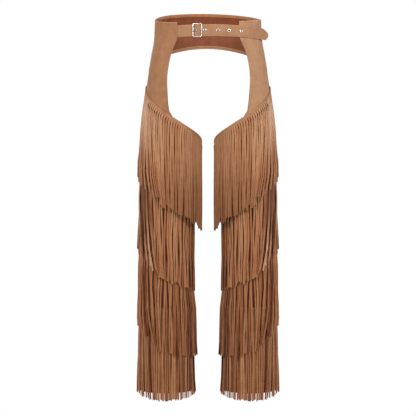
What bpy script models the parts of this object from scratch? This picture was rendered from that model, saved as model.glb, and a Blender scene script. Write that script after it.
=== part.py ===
"""Fringed suede chaps with a buckled waist strap, filled out as if worn.

Blender 4.5, metres, +Z up. The front faces -Y and the wearer's left is +X. The origin is the middle of the
waist, level with the middle of the front strap, where the body holds the garment up.

Each cloth piece is an open sheet of points on the garment's own surface, given its thickness by Solidify.
Sizes and places below are in millimetres, and sheets are scaled to metres as they are made.
"""

import math
from collections import namedtuple

import bmesh
import bpy
from mathutils import Matrix, Vector

MM = 0.001

# ---------------------------------------------------------------- driving sizes, in millimetres
WALL = 1.5  # suede with its backing
SEAM = 0.3  # gap between two pieces at a seam
SIDE_SEAM = 0.7  # the same at the outseam and inseam, where curved walls come nearer on the inside
REST = 1.0  # gap from the smooth surface to a faceted piece that lies on it

WAIST_SIDE = 43.0  # height of the waist's top edge at the side
WAIST_TILT = 25.0  # the back of the waist is this much above the side, the front this much below
WAIST_DEPTH = 95.0  # half the waist's depth

YOKE_REACH = 115.0  # where the back yoke meets the hip panels, from the middle
YOKE_HEM = -21.0  # height of the yoke's lower edge at centre back
YOKE_ARCH = 18.0  # how far that edge has dropped 100 mm from the middle
TURN = 8.0  # width of the turned hems

OUTSEAM = 0.32  # the outseam's place across the hip panel, 0 at the side and 1 at the front edge
LEG_HEM = -932.0  # lower edge of the leg walls

TIER_LENGTH = 242.0  # one tier of fringe, header and strands
HEADER = 8.0  # uncut header of a tier
STRANDS = 30  # strands round one leg in one tier
STRAND_SHARE = 0.78  # a strand's share of the room that it has at the header
STRAND_THICK = 1.8
UNDER_TIER = 1.7  # gap from the wall to the strands of a tier
OVER_TIER = 6.0  # the same where they hang over the next tier

STRAP_HALF = 14.7  # half the waist strap's height
STRAP_THICK = 2.4
STRAP_START = -100.0  # along the waist from centre front, behind the right hip panel
STRAP_LEAVES = 139.0  # where the strap's end leaves the hip and runs on straight
STRAP_END = 192.0
TIP = 11.0  # length of the strap's pointed tip
TAB_START = 102.0  # the short tab's sewn end, behind the left hip panel

BUCKLE_AT = -27.0  # the buckle's bar, along the waist
BUCKLE_HALF = 11.6  # from that bar to the frame's end bars
RAIL = 16.5  # from the strap's middle to the frame's long rails
WIRE = 1.45  # radius of the frame's wire
BAR = 1.2  # radius of the middle bar
PRONG = 0.9  # radius of the prong
FRAME_OUT = 3.1  # the frame's plane, outwards of the strap's line
BAR_OUT = -2.0  # the middle bar lies behind the strap
CREST = 2.9  # how far the strap rises over the middle bar
FRAME_CORNER = 3.0  # radius of the frame's corners

EYELET_PLACES = (-30.8, -8.3, 25.6, 54.5, 86.5)  # along the waist; the prong goes through the first
EYELETS = len(EYELET_PLACES)
EYELET_FLANGE = 4.3
EYELET_BARREL = 2.3
EYELET_BORE = 1.7
EYELET_HOLE = 2.65  # hole in the strap
EYELET_FLAT = 5.2  # the strap is flat this far to each side of an eyelet

# ---------------------------------------------------------------- tables, in millimetres and degrees
HipRing = namedtuple("HipRing", "height half_width half_depth")
HIP_RINGS = (
    HipRing(-232, 172.0, 106.0),
    HipRing(-190, 168.6, 108.5),
    HipRing(-137, 162.2, 110.0),
    HipRing(-90, 155.5, 109.0),
    HipRing(-45, 148.5, 105.0),
    HipRing(-20, 144.0, 101.5),
    HipRing(0, 141.8, 98.5),
    HipRing(43, 140.4, 95.0),
    HipRing(80, 139.8, 93.5),
)

LegRing = namedtuple("LegRing", "height outer inner front back")
LEG_RINGS = (
    LegRing(-960, 181.0, 38.5, 79.0, 80.0),
    LegRing(-750, 178.5, 42.0, 77.5, 78.5),
    LegRing(-550, 177.5, 42.5, 79.0, 80.0),
    LegRing(-434, 176.7, 37.5, 83.0, 84.5),
    LegRing(-360, 176.7, 28.5, 86.0, 88.0),
    LegRing(-280, 175.6, 18.2, 88.5, 91.0),
    LegRing(-222, 171.3, 15.5, 89.0, 92.0),
    LegRing(-137, 162.2, 13.0, 88.0, 92.0),
    LegRing(-100, 157.0, 12.0, 86.0, 90.0),
)

# Top of each tier, by the angle round the leg: 0 at the outer side, 90 at the front or back, 180 inside.
TierTop = namedtuple("TierTop", "angle thigh knee shin hem")
TIER_TOPS = (
    TierTop(0, -132, -317, -511, -702),
    TierTop(45, -177, -360, -550, -708),
    TierTop(90, -220, -399, -590, -711),
    TierTop(135, -253, -422, -604, -710),
    TierTop(180, -277, -434, -603, -706),
)
TIERS = ("thigh", "knee", "shin", "hem")

# Edge of the open seat, from the thigh's seam up to the waist: distance from the middle, front and back.
EdgeRow = namedtuple("EdgeRow", "height front back")
SEAT_EDGE = (
    EdgeRow(-222, 90.0, 92.0),
    EdgeRow(-206, 100.0, 102.5),
    EdgeRow(-190, 104.5, 107.5),
    EdgeRow(-165, 107.5, 111.0),
    EdgeRow(-120, 107.5, 113.5),
    EdgeRow(-70, 101.0, YOKE_REACH),
    EdgeRow(-45, 93.0, YOKE_REACH),
    EdgeRow(-14, 81.5, YOKE_REACH),
    EdgeRow(23, 81.0, YOKE_REACH),
)

# How far outwards of the waist's surface the strap's middle and the tab's face are, along the waist from
# centre front. Lean is how much further out its lower edge is, and how much further in its upper edge.
StrapRow = namedtuple("StrapRow", "along out lean")
STRAP_ROWS = (
    StrapRow(-110, -3.5, 1.8),
    StrapRow(-82, -3.5, 1.8),
    StrapRow(-58, 0.0, 0.5),
    StrapRow(-36.5, 0.0, 0.0),
    StrapRow(-31, 2.4, 0.0),
    StrapRow(-27, CREST, 0.0),
    StrapRow(-23, 2.4, 0.0),
    StrapRow(-17.5, 0.0, 0.0),
    StrapRow(52, 0.0, 0.6),
    StrapRow(78, 2.3, 1.5),
    StrapRow(205, 2.3, 1.0),
)
TAB_ROWS = (
    StrapRow(-30, -3.8, 0.0),
    StrapRow(52, -3.8, 0.6),
    StrapRow(78, -2.1, 1.8),
    StrapRow(110, -2.1, 1.8),
)

Finish = namedtuple("Finish", "red green blue roughness metallic")
FINISHES = {
    "suede": Finish(0.43, 0.21, 0.105, 0.92, 0.0),
    "suede_reverse": Finish(0.25, 0.08, 0.038, 0.95, 0.0),
    "nickel": Finish(0.72, 0.71, 0.68, 0.28, 1.0),
}


# ---------------------------------------------------------------- tables to smooth curves
def read(rows, column, at):
    """Smooth value of a table's column at a key in its first column, with no overshoot between rows."""
    keys = [row[0] for row in rows]
    values = [getattr(row, column) for row in rows]
    if at <= keys[0]:
        return values[0]
    if at >= keys[-1]:
        return values[-1]
    i = next(n for n in range(len(keys) - 1) if at <= keys[n + 1])
    slopes = [(values[n + 1] - values[n]) / (keys[n + 1] - keys[n]) for n in range(len(keys) - 1)]

    def tangent(n):
        if n in (0, len(keys) - 1):
            return slopes[min(n, len(slopes) - 1)]
        before, after = slopes[n - 1], slopes[n]
        return 0.0 if before * after <= 0 else 2 * before * after / (before + after)

    span = keys[i + 1] - keys[i]
    t = (at - keys[i]) / span
    return (
        values[i] * (1 + 2 * t) * (1 - t) ** 2
        + tangent(i) * span * t * (1 - t) ** 2
        + values[i + 1] * t * t * (3 - 2 * t)
        - tangent(i + 1) * span * t * t * (1 - t)
    )


def ease(t):
    """0 to 1 with level ends."""
    t = min(max(t, 0.0), 1.0)
    return t * t * (3 - 2 * t)


def mix(a, b, t):
    return a + (b - a) * t


# ---------------------------------------------------------------- the garment's surface
def waist_top(y):
    """Height of the waist's top edge, which rises from front to back."""
    back = y / WAIST_DEPTH
    return WAIST_SIDE + WAIST_TILT * back + 3.0 * back * back


def tier_top(tier, angle):
    """Height of a tier's top edge. Front and back of the leg are alike."""
    turned = abs((angle + 180.0) % 360.0 - 180.0)
    return read(TIER_TOPS, tier, turned)


def leg_point(angle, height, out=0.0):
    """Point on the left leg's outside. The angle runs from the outer side to the front and on round."""
    outer = read(LEG_RINGS, "outer", height)
    inner = read(LEG_RINGS, "inner", height)
    turn = math.radians(angle)
    depth = read(LEG_RINGS, "front" if math.sin(turn) >= 0 else "back", height)
    half = (outer - inner) / 2
    away = Vector((math.cos(turn) / half, -math.sin(turn) / depth, 0.0)).normalized()
    middle = (outer + inner) / 2
    return Vector((middle + half * math.cos(turn), -depth * math.sin(turn), height)) + away * out


def seam_angle(across):
    """Angle round the leg below a place across the hip panel, where the two meet."""
    edge = SEAT_EDGE[0].front if across >= 0 else SEAT_EDGE[0].back
    hip, leg = HIP_RINGS[0], LEG_RINGS[-3]
    x = hip.half_width * math.cos(abs(across) * math.acos(edge / hip.half_width))
    reach = (x - (leg.outer + leg.inner) / 2) / ((leg.outer - leg.inner) / 2)
    return math.copysign(math.degrees(math.acos(min(1.0, reach))), across)


def hip_point(across, row):
    """Point on the left hip panel. Across is 1 at the front edge, 0 at the side and -1 at the back edge.

    The row is the height on the front edge. Rows lean from the slanting thigh seam to the tilted waist.
    """
    column = "front" if across >= 0 else "back"
    low, high = SEAT_EDGE[0], SEAT_EDGE[-1]
    angle = seam_angle(across)
    seam = leg_point(angle, tier_top("thigh", angle) + SEAM)
    if row == low.height:
        return seam
    rise = (row - low.height) / (high.height - low.height)
    waist_turn = abs(across) * math.acos(getattr(high, column) / read(HIP_RINGS, "half_width", WAIST_SIDE))
    waist_y = math.copysign(WAIST_DEPTH * math.sin(waist_turn), -across)
    height = mix(seam.z, waist_top(waist_y), rise)
    half_width = read(HIP_RINGS, "half_width", height)
    x = half_width * math.cos(abs(across) * math.acos(read(SEAT_EDGE, column, row) / half_width))
    hip_depth = read(HIP_RINGS, "half_depth", height) * math.sqrt(max(0.0, 1 - (x / half_width) ** 2))
    outer, inner = read(LEG_RINGS, "outer", height), read(LEG_RINGS, "inner", height)
    reach = (x - (outer + inner) / 2) / ((outer - inner) / 2)
    leg_depth = read(LEG_RINGS, column, height) * math.sqrt(max(0.0, 1 - reach * reach))
    depth = mix(leg_depth, hip_depth, ease(rise / 0.65))
    return Vector((x, math.copysign(depth, -across), height))


def yoke_point(across, rise, out=0.0):
    """Point on the back yoke, across from -1 at the right seam to 1 at the left, rise 0 at its lower edge."""
    x = across * (YOKE_REACH - SIDE_SEAM)
    low = YOKE_HEM - YOKE_ARCH * (x / 100.0) ** 2
    y = WAIST_DEPTH * math.sqrt(1 - (x / HIP_RINGS[-2].half_width) ** 2)
    height = mix(low, waist_top(y), rise)
    half_width = read(HIP_RINGS, "half_width", height)
    half_depth = read(HIP_RINGS, "half_depth", height)
    y = half_depth * math.sqrt(1 - (x / half_width) ** 2)
    away = Vector((x / half_width**2, y / half_depth**2, 0.0)).normalized()
    return Vector((x, y, height)) + away * out


# ---------------------------------------------------------------- building
def clear_scene():
    for obj in list(bpy.data.objects):
        bpy.data.objects.remove(obj, do_unlink=True)


def make_collection(name):
    collection = bpy.data.collections.new(name)
    bpy.context.scene.collection.children.link(collection)
    return collection


def make_materials():
    made = {}
    for name, finish in FINISHES.items():
        material = bpy.data.materials.new(name)
        material.use_nodes = True
        shader = material.node_tree.nodes["Principled BSDF"]
        shader.inputs["Base Color"].default_value = (finish.red, finish.green, finish.blue, 1.0)
        shader.inputs["Roughness"].default_value = finish.roughness
        shader.inputs["Metallic"].default_value = finish.metallic
        made[name] = material
    return made


def add_object(name, mesh, finish):
    obj = bpy.data.objects.new(name, mesh)
    mesh.materials.append(MATERIALS[finish])
    CHAPS.objects.link(obj)
    return obj


def add_sheet(name, rows, finish, thickness, outwards=False, closed=False, left_out=()):
    """Cloth through rows of points in millimetres, listed upwards, each to the right as seen from outside.

    The rows lie on the piece's outer face, or on its inner face with outwards set. Faces whose (row, column)
    is in left_out stay open, as between strands.
    """
    mesh = bpy.data.meshes.new(name)
    build = bmesh.new()
    grid = [[build.verts.new(point * MM) for point in row] for row in rows]
    columns = len(rows[0])
    for r in range(len(rows) - 1):
        for c in range(columns if closed else columns - 1):
            if (r, c) in left_out:
                continue
            after = (c + 1) % columns
            build.faces.new((grid[r][c], grid[r][after], grid[r + 1][after], grid[r + 1][c]))
    loose = [vert for vert in build.verts if not vert.link_faces]
    bmesh.ops.delete(build, geom=loose, context="VERTS")
    build.to_mesh(mesh)
    build.free()
    obj = add_object(name, mesh, finish)
    solidify = obj.modifiers.new("Thickness", "SOLIDIFY")
    solidify.thickness = thickness * MM
    solidify.offset = 1.0 if outwards else -1.0
    return obj


def on_side(side, rows):
    """Rows of the left half's points, on the left or mirrored to the right, running rightwards from outside."""
    if side == "left":
        return rows
    return [[Vector((-p.x, p.y, p.z)) for p in reversed(row)] for row in rows]


def spaced(first, last, count):
    return [mix(first, last, i / (count - 1)) for i in range(count)]


# ---------------------------------------------------------------- cloth pieces
def hip_columns():
    """Places across the front and the back hip panel, each from front to back, with the outseam between."""
    gap = SIDE_SEAM / 2 / 125.0
    return spaced(1.0, OUTSEAM + gap, 6), spaced(OUTSEAM - gap, -1.0, 10)


def build_hip_panels(side):
    """Front and back hip panels, which meet at the outseam, a little in front of the side."""
    for name, across in zip(("hip_front", "hip_back"), hip_columns()):
        rows = [[hip_point(a, row.height) for a in across] for row in SEAT_EDGE]
        add_sheet(f"{side}_{name}", on_side(side, rows), "suede", WALL)


def build_back_yoke():
    """The yoke across the back of the waist, and the hems turned to its inside."""
    across = [-a for a in spaced(-1.0, 1.0, 19)]
    rows = [[yoke_point(a, rise) for a in across] for rise in spaced(0.0, 1.0, 4)]
    add_sheet("back_yoke", rows, "suede", WALL)
    inside = -(WALL + SEAM)
    height = waist_top(WAIST_DEPTH) - YOKE_HEM
    for name, low, high in (
        ("yoke_top_turn", 1 - TURN / height, 1.0),
        ("yoke_hem_turn", 0.0, TURN / height),
    ):
        rows = [[yoke_point(a, rise, inside) for a in across] for rise in (low, high)]
        add_sheet(name, rows, "suede", 1.0)


def build_leg(side):
    """Front and back leg walls, open at the thigh and the hem, with an outseam and an inseam.

    Their columns start below those of the hip panels, so that the two share the thigh seam.
    """
    front, back = hip_columns()
    gap = math.degrees(SIDE_SEAM / 2 / 75.0)
    below_front = [seam_angle(a) for a in front]
    below_back = [seam_angle(a) for a in back]
    front_angles = spaced(180.0 - gap, below_front[0], 8)[:-1] + below_front
    back_angles = below_back + spaced(below_back[-1], -180.0 + gap, 8)[1:]
    for name, angles in (("front", front_angles), ("back", back_angles)):
        rows = []
        for rise in (0.0, 0.2, 0.4, 0.58, 0.74, 0.86, 0.94, 1.0):
            rows.append([leg_point(a, mix(LEG_HEM, tier_top("thigh", a), rise)) for a in angles])
        add_sheet(f"{side}_leg_{name}", on_side(side, rows), "suede_reverse", WALL)


def header_angles(tier):
    """Angles of the two edges of each strand, evenly spaced along the header's length."""
    steps = 720
    points = [leg_point(a * 360.0 / steps, tier_top(tier, a * 360.0 / steps)) for a in range(steps + 1)]
    lengths = [0.0]
    for one, other in zip(points, points[1:]):
        lengths.append(lengths[-1] + (other - one).xy.length)
    angles = []
    for strand in range(STRANDS):
        for edge in (0.0, STRAND_SHARE):
            target = lengths[-1] * (strand + edge) / STRANDS
            n = next(i for i in range(steps) if lengths[i + 1] > target)
            share = (target - lengths[n]) / (lengths[n + 1] - lengths[n])
            angles.append((n + share) * 360.0 / steps)
    return angles


def hung(root, angle, height, gap):
    """Where cloth that hangs from a root passes a height: straight down, or pushed out by the leg inside it."""
    wall = leg_point(angle, height, gap)
    away = (leg_point(angle, root.z, 1.0) - leg_point(angle, root.z)).normalized()
    push = max(0.0, (wall - root).dot(away))
    return Vector((root.x, root.y, height)) + away * push


def build_fringe(side, tier):
    """One tier: a closed header round the leg, cut into strands that hang over the next tier."""
    place = TIERS.index(tier)
    below = TIERS[place + 1] if place + 1 < len(TIERS) else None
    angles = header_angles(tier)
    rows = [[] for _ in range(5)]
    for number, angle in enumerate(angles):
        top = tier_top(tier, angle) - SEAM
        strand = number // 2
        length = TIER_LENGTH - 4.0 * (1 + math.sin(2.4 * strand + place))
        sway = 1.2 * math.sin(1.7 * strand + 2 * place)
        tilt = 0.7 * math.cos(2.9 * strand)
        crossing = tier_top(below, angle) + 6.0 if below else top - 0.66 * length
        root = leg_point(angle, top - HEADER, REST)
        middle = hung(root, angle, mix(top - HEADER, crossing, 0.5), UNDER_TIER + 0.4 + tilt)
        over = OVER_TIER if below else UNDER_TIER + 0.8
        passing = hung(middle, angle, crossing, over + tilt)
        end = hung(passing, angle, top - length, over + 2.2 + tilt)
        beside = Vector((math.sin(math.radians(angle)), math.cos(math.radians(angle)), 0.0)) * sway
        rows[4].append(leg_point(angle, top, REST))
        rows[3].append(root)
        rows[2].append(middle + beside * 0.5)
        rows[1].append(passing + beside)
        rows[0].append(end + beside * 1.6)
    # Seen from outside, angles run leftwards round the left leg. Strands start at even columns, gaps at odd.
    rows = on_side(side, [list(reversed(row)) for row in rows])
    gaps = {(r, c) for r in range(3) for c in range(1, len(angles), 2)}
    add_sheet(
        f"{side}_fringe_{tier}", rows, "suede", STRAND_THICK, outwards=True, closed=True, left_out=gaps
    )


# ---------------------------------------------------------------- waist strap, tab and buckle
def waist_line():
    """The waist's outline at the strap's height, as points and their distance from centre front."""
    half_width = read(HIP_RINGS, "half_width", 0.0)
    half_depth = read(HIP_RINGS, "half_depth", 0.0)
    steps = 900
    points, along = [], [0.0]
    for i in range(steps + 1):
        turn = math.radians(90.0 * i / steps)
        points.append(Vector((half_width * math.sin(turn), -half_depth * math.cos(turn), 0.0)))
    for one, other in zip(points, points[1:]):
        along.append(along[-1] + (other - one).length)
    return points, along


def waist_place(along, out=0.0):
    """Point on the waist's line, its direction and its outward normal. The strap's end runs straight on."""
    points, lengths = WAIST_LINE
    reach = min(abs(along), STRAP_LEAVES)
    n = next(i for i in range(len(lengths) - 1) if lengths[i + 1] >= reach)
    share = (reach - lengths[n]) / (lengths[n + 1] - lengths[n])
    point = points[n].lerp(points[n + 1], share)
    direction = (points[n + 1] - points[n]).normalized()
    if along < 0:
        point.x, direction.y = -point.x, -direction.y
    point = point + direction * max(0.0, along - STRAP_LEAVES)
    normal = Vector((direction.y, -direction.x, 0.0))
    return point + normal * out, direction, normal


def buckle_frame_at():
    """The buckle's own axes, in metres: X along the strap, Y up it and Z outwards."""
    point, direction, normal = waist_place(BUCKLE_AT)
    up = Vector((0.0, 0.0, 1.0))
    turned = Matrix((direction, up, normal)).transposed().to_4x4()
    return Matrix.Translation(point * MM) @ turned


def strap_stations():
    """Places along the strap: close over the buckle, flat under each eyelet, wider elsewhere."""
    before = spaced(STRAP_START, -46.0, 6)
    over = spaced(-42.0, -14.5, 12)
    after = []
    for eyelet, following in zip(EYELET_PLACES[1:], EYELET_PLACES[2:] + (116.0,)):
        after += [eyelet - EYELET_FLAT, eyelet + EYELET_FLAT, (eyelet + following) / 2]
    end = [120.0, STRAP_LEAVES, mix(STRAP_LEAVES, STRAP_END - TIP, 0.5)]
    return before + over + after + end + [STRAP_END - TIP, STRAP_END - 3.0, STRAP_END]


def strap_half_height(along):
    """Half the strap's height, which narrows to a blunt point at its free end."""
    left = STRAP_END - along
    if left >= 3.0:
        return mix(9.0, STRAP_HALF, min(1.0, (left - 3.0) / (TIP - 3.0)))
    return mix(4.0, 9.0, left / 3.0)


def build_strap():
    """The long strap with its eyelet holes."""
    rows = [[], []]
    for along in strap_stations():
        out = read(STRAP_ROWS, "out", along) + STRAP_THICK / 2
        half = strap_half_height(along)
        lean = read(STRAP_ROWS, "lean", along) * half / STRAP_HALF
        for row, way in zip(rows, (-1, 1)):
            point, _, _ = waist_place(along, out - way * lean)
            row.append(point + Vector((0.0, 0.0, way * half)))
    strap = add_sheet("waist_strap", rows, "suede", STRAP_THICK)
    for number in range(EYELETS):
        bpy.ops.mesh.primitive_cylinder_add(vertices=12, radius=EYELET_HOLE * MM, depth=12 * MM)
        cutter = bpy.context.object
        cutter.name = f"cutter_eyelet_{number + 1}"
        cutter.matrix_world = eyelet_at(number)
        cutter.hide_render = True
        cutter.display_type = "WIRE"
        for collection in cutter.users_collection:
            collection.objects.unlink(cutter)
        CUTTERS.objects.link(cutter)
        hole = strap.modifiers.new(f"Eyelet hole {number + 1}", "BOOLEAN")
        hole.operation = "DIFFERENCE"
        hole.object = cutter


def eyelet_at(number):
    """An eyelet's axes on the strap, in metres, with Z outwards along its hole."""
    along = EYELET_PLACES[number]
    step = EYELET_FLAT if number else 1.0
    before = waist_place(along - step, read(STRAP_ROWS, "out", along - step))[0]
    after = waist_place(along + step, read(STRAP_ROWS, "out", along + step))[0]
    direction = (after - before).normalized()
    level = Vector((direction.y, -direction.x, 0.0))
    up = (Vector((0.0, 0.0, STRAP_HALF)) - level * read(STRAP_ROWS, "lean", along)).normalized()
    turned = Matrix((direction, up, direction.cross(up))).transposed().to_4x4()
    return Matrix.Translation((before + after) / 2 * MM) @ turned


def build_eyelet(number):
    """A turned eyelet: a domed flange on the strap's face and a barrel through its hole."""
    face = STRAP_THICK / 2 + SEAM
    back = -STRAP_THICK / 2
    profile = (
        (EYELET_BORE, face + 0.5),
        (EYELET_BORE + 1.2, face + 0.8),
        (EYELET_FLANGE, face + 0.25),
        (EYELET_FLANGE, face),
        (EYELET_BARREL, face),
        (EYELET_BARREL, back),
        (EYELET_BORE, back),
    )
    mesh = bpy.data.meshes.new(f"eyelet_{number + 1}")
    build = bmesh.new()
    ring = [build.verts.new((radius * MM, 0.0, height * MM)) for radius, height in profile]
    for one, other in zip(ring, ring[1:] + ring[:1]):
        build.edges.new((one, other))
    build.to_mesh(mesh)
    build.free()
    obj = add_object(f"eyelet_{number + 1}", mesh, "nickel")
    obj.matrix_world = eyelet_at(number)
    turn = obj.modifiers.new("Turned", "SCREW")
    turn.steps = turn.render_steps = 12
    turn.use_smooth_shade = True
    turn.use_merge_vertices = True
    turn.merge_threshold = 0.00001


def build_tab():
    """The short tab: sewn behind the left hip panel, folded round the buckle's bar and back on itself.

    The fold has a slot at mid height, where the prong turns on the bar.
    """
    thick = 1.2
    slot = 2.4
    place = buckle_frame_at()
    loop = BAR + 0.5
    fold = [(18.0, -3.3), (6.0, -3.3)]
    for turn in spaced(30.0, 260.0, 9):
        around = math.radians(turn)
        fold.append((loop * math.cos(around), BAR_OUT + loop * math.sin(around)))
    across = (-STRAP_HALF, -slot, slot, STRAP_HALF)
    rows = [[] for _ in across]
    for row, height in zip(rows, across):
        for x, out in fold:
            row.append(place @ (Vector((x, height, out)) * MM) / MM)
        for along in spaced(-18.0, 50.0, 6) + spaced(62.0, TAB_START, 5):
            out = read(TAB_ROWS, "out", along)
            lean = read(TAB_ROWS, "lean", along) * height / STRAP_HALF
            row.append(waist_place(along, out - lean)[0] + Vector((0.0, 0.0, height)))
    slotted = {(1, column) for column in range(1, len(fold))}
    add_sheet("buckle_tab", rows, "suede", thick, left_out=slotted)


def add_wire(name, points, radius, cyclic=False, sides=2):
    """A round wire through points in millimetres on the buckle's axes, as a curve."""
    curve = bpy.data.curves.new(name, "CURVE")
    curve.dimensions = "3D"
    curve.bevel_depth = radius * MM
    curve.bevel_resolution = sides
    curve.use_fill_caps = not cyclic
    spline = curve.splines.new("POLY")
    spline.points.add(len(points) - 1)
    for target, point in zip(spline.points, points):
        target.co = (*(Vector(point) * MM), 1.0)
    spline.use_cyclic_u = cyclic
    obj = bpy.data.objects.new(name, curve)
    CHAPS.objects.link(obj)
    obj.matrix_world = buckle_frame_at()
    return obj


def as_mesh(curve_object, name, finish):
    """The curve object as a closed mesh object in its place, so that a Boolean can use it."""
    bpy.context.view_layer.update()
    evaluated = curve_object.evaluated_get(bpy.context.evaluated_depsgraph_get())
    mesh = bpy.data.meshes.new_from_object(evaluated)
    build = bmesh.new()
    build.from_mesh(mesh)
    bmesh.ops.remove_doubles(build, verts=build.verts, dist=0.00001)
    bmesh.ops.recalc_face_normals(build, faces=build.faces)
    build.to_mesh(mesh)
    build.free()
    mesh.shade_smooth()
    mesh.set_sharp_from_angle(angle=math.radians(50))
    mesh.materials.clear()
    place = curve_object.matrix_world.copy()
    bpy.data.objects.remove(curve_object, do_unlink=True)
    obj = add_object(name, mesh, finish)
    obj.matrix_world = place
    return obj


def rounded_corner(x, y, radius, quarter):
    """Points of a rounded corner in the frame's plane, for one of its four quarters."""
    points = []
    for step in range(4):
        turn = math.radians(90.0 * quarter + 30.0 * step)
        points.append((x + radius * math.cos(turn), y + radius * math.sin(turn), FRAME_OUT))
    return points


def build_buckle():
    """The frame with its middle bar, and the prong that turns on that bar."""
    x, y = BUCKLE_HALF - FRAME_CORNER, RAIL - FRAME_CORNER
    outline = (
        rounded_corner(x, y, FRAME_CORNER, 0)
        + rounded_corner(-x, y, FRAME_CORNER, 1)
        + rounded_corner(-x, -y, FRAME_CORNER, 2)
        + rounded_corner(x, -y, FRAME_CORNER, 3)
    )
    frame = as_mesh(add_wire("frame_wire", outline, WIRE, cyclic=True), "buckle_frame", "nickel")
    drop = (
        (0, RAIL, FRAME_OUT),
        (0, RAIL, BAR_OUT + 1.5),
        (0, RAIL - 0.4, BAR_OUT + 0.4),
        (0, RAIL - 1.5, BAR_OUT),
        (0, -RAIL + 1.5, BAR_OUT),
        (0, -RAIL + 0.4, BAR_OUT + 0.4),
        (0, -RAIL, BAR_OUT + 1.5),
        (0, -RAIL, FRAME_OUT),
    )
    bar = as_mesh(add_wire("bar_wire", drop, BAR), "middle_bar", "nickel")
    CHAPS.objects.unlink(bar)
    CUTTERS.objects.link(bar)
    bar.hide_render = True
    bar.display_type = "WIRE"
    join = frame.modifiers.new("Middle bar", "BOOLEAN")
    join.operation = "UNION"
    join.object = bar

    loop = BAR + SEAM + PRONG
    points = []
    for turn in spaced(60.0, -190.0, 9):
        around = math.radians(turn)
        points.append((loop * math.cos(around), 0.0, BAR_OUT + loop * math.sin(around)))
    hole = EYELET_PLACES[0] - BUCKLE_AT
    over_strap = CREST + STRAP_THICK / 2 + PRONG + 0.9
    over_bar = FRAME_OUT + WIRE + PRONG + SEAM
    points += [
        (hole + 0.5, 0.0, 0.2),
        (hole, 0.0, 2.6),
        (hole - 0.4, 0.0, over_strap - 0.4),
        (hole - 1.6, 0.0, over_strap + 0.3),
        (-BUCKLE_HALF + 2.0, 0.0, over_bar + 0.3),
        (-BUCKLE_HALF - 1.6, 0.0, over_bar),
    ]
    as_mesh(add_wire("prong_wire", points, PRONG), "buckle_prong", "nickel")


def build_chaps():
    build_back_yoke()
    for side in ("left", "right"):
        build_hip_panels(side)
        build_leg(side)
        for tier in TIERS:
            build_fringe(side, tier)
    build_strap()
    build_tab()
    for number in range(EYELETS):
        build_eyelet(number)
    build_buckle()


clear_scene()
CHAPS = make_collection("fringed_chaps")
CUTTERS = make_collection("cutters")
MATERIALS = make_materials()
WAIST_LINE = waist_line()
build_chaps()
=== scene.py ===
# %% [markdown]
# # Fringed suede chaps
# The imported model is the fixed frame: it says where every piece is. Each piece below is worked out on the
# same surface as the solids, from the same named sizes, and adds what a solid can't show: folded hems,
# narrow strands, stitches, nap and metal.

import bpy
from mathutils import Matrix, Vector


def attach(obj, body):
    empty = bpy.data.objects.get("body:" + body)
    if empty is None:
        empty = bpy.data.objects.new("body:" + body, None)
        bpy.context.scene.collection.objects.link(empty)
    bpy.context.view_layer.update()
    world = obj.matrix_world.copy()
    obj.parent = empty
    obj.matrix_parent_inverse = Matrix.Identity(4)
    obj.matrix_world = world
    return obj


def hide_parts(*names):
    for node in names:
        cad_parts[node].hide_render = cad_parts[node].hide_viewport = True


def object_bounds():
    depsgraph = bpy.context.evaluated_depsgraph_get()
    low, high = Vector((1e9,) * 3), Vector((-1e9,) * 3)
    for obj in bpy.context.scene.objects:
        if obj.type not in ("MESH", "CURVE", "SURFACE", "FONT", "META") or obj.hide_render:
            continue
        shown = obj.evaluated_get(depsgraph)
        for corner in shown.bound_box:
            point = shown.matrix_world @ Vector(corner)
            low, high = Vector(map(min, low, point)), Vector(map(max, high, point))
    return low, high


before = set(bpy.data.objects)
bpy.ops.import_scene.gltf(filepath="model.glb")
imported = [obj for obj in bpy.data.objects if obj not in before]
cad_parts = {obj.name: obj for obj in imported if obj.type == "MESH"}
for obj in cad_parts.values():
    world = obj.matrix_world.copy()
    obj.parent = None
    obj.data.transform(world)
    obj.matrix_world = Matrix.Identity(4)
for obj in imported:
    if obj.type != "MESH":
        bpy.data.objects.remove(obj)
cad_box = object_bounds()
print("nodes in the frame:", len(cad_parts))

# %% Tools
import bisect
import math
from collections import namedtuple
from contextlib import contextmanager

import bpy
import numpy as np
from mathutils import Matrix, Vector

MM = 0.001
SIDES = ("left", "right")
bpy.ops.object.select_all(action="DESELECT")  # the solids come in selected
print("sizes are in millimetres, of", MM, "m")

# %% [markdown]
# ## Camera
# The chaps are seen straight from the front by a level camera 3.2 m away, at half their height. A long lens
# keeps the legs parallel. The camera is an ordinary one with no shift.

# %% Camera
VIEW_WIDTH = 1.0982  # metres across at the origin's distance
CAMERA_AWAY = 3.2
CAMERA_HEIGHT = -0.455
bpy.ops.object.camera_add(location=(0, -CAMERA_AWAY, CAMERA_HEIGHT), rotation=(math.radians(90), 0, 0))
camera = bpy.context.object
camera.data.sensor_width = 36.0
camera.data.lens = 36.0 * CAMERA_AWAY / VIEW_WIDTH
bpy.context.scene.camera = camera
print(f"lens {camera.data.lens:.1f} mm")

# %% [markdown]
# ## Sizes of the garment
# A pattern cutter works from a few measures and tables of rings round the body. They are the ones that the
# solids were made from, in millimetres, with the origin at the middle of the waist.

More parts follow.
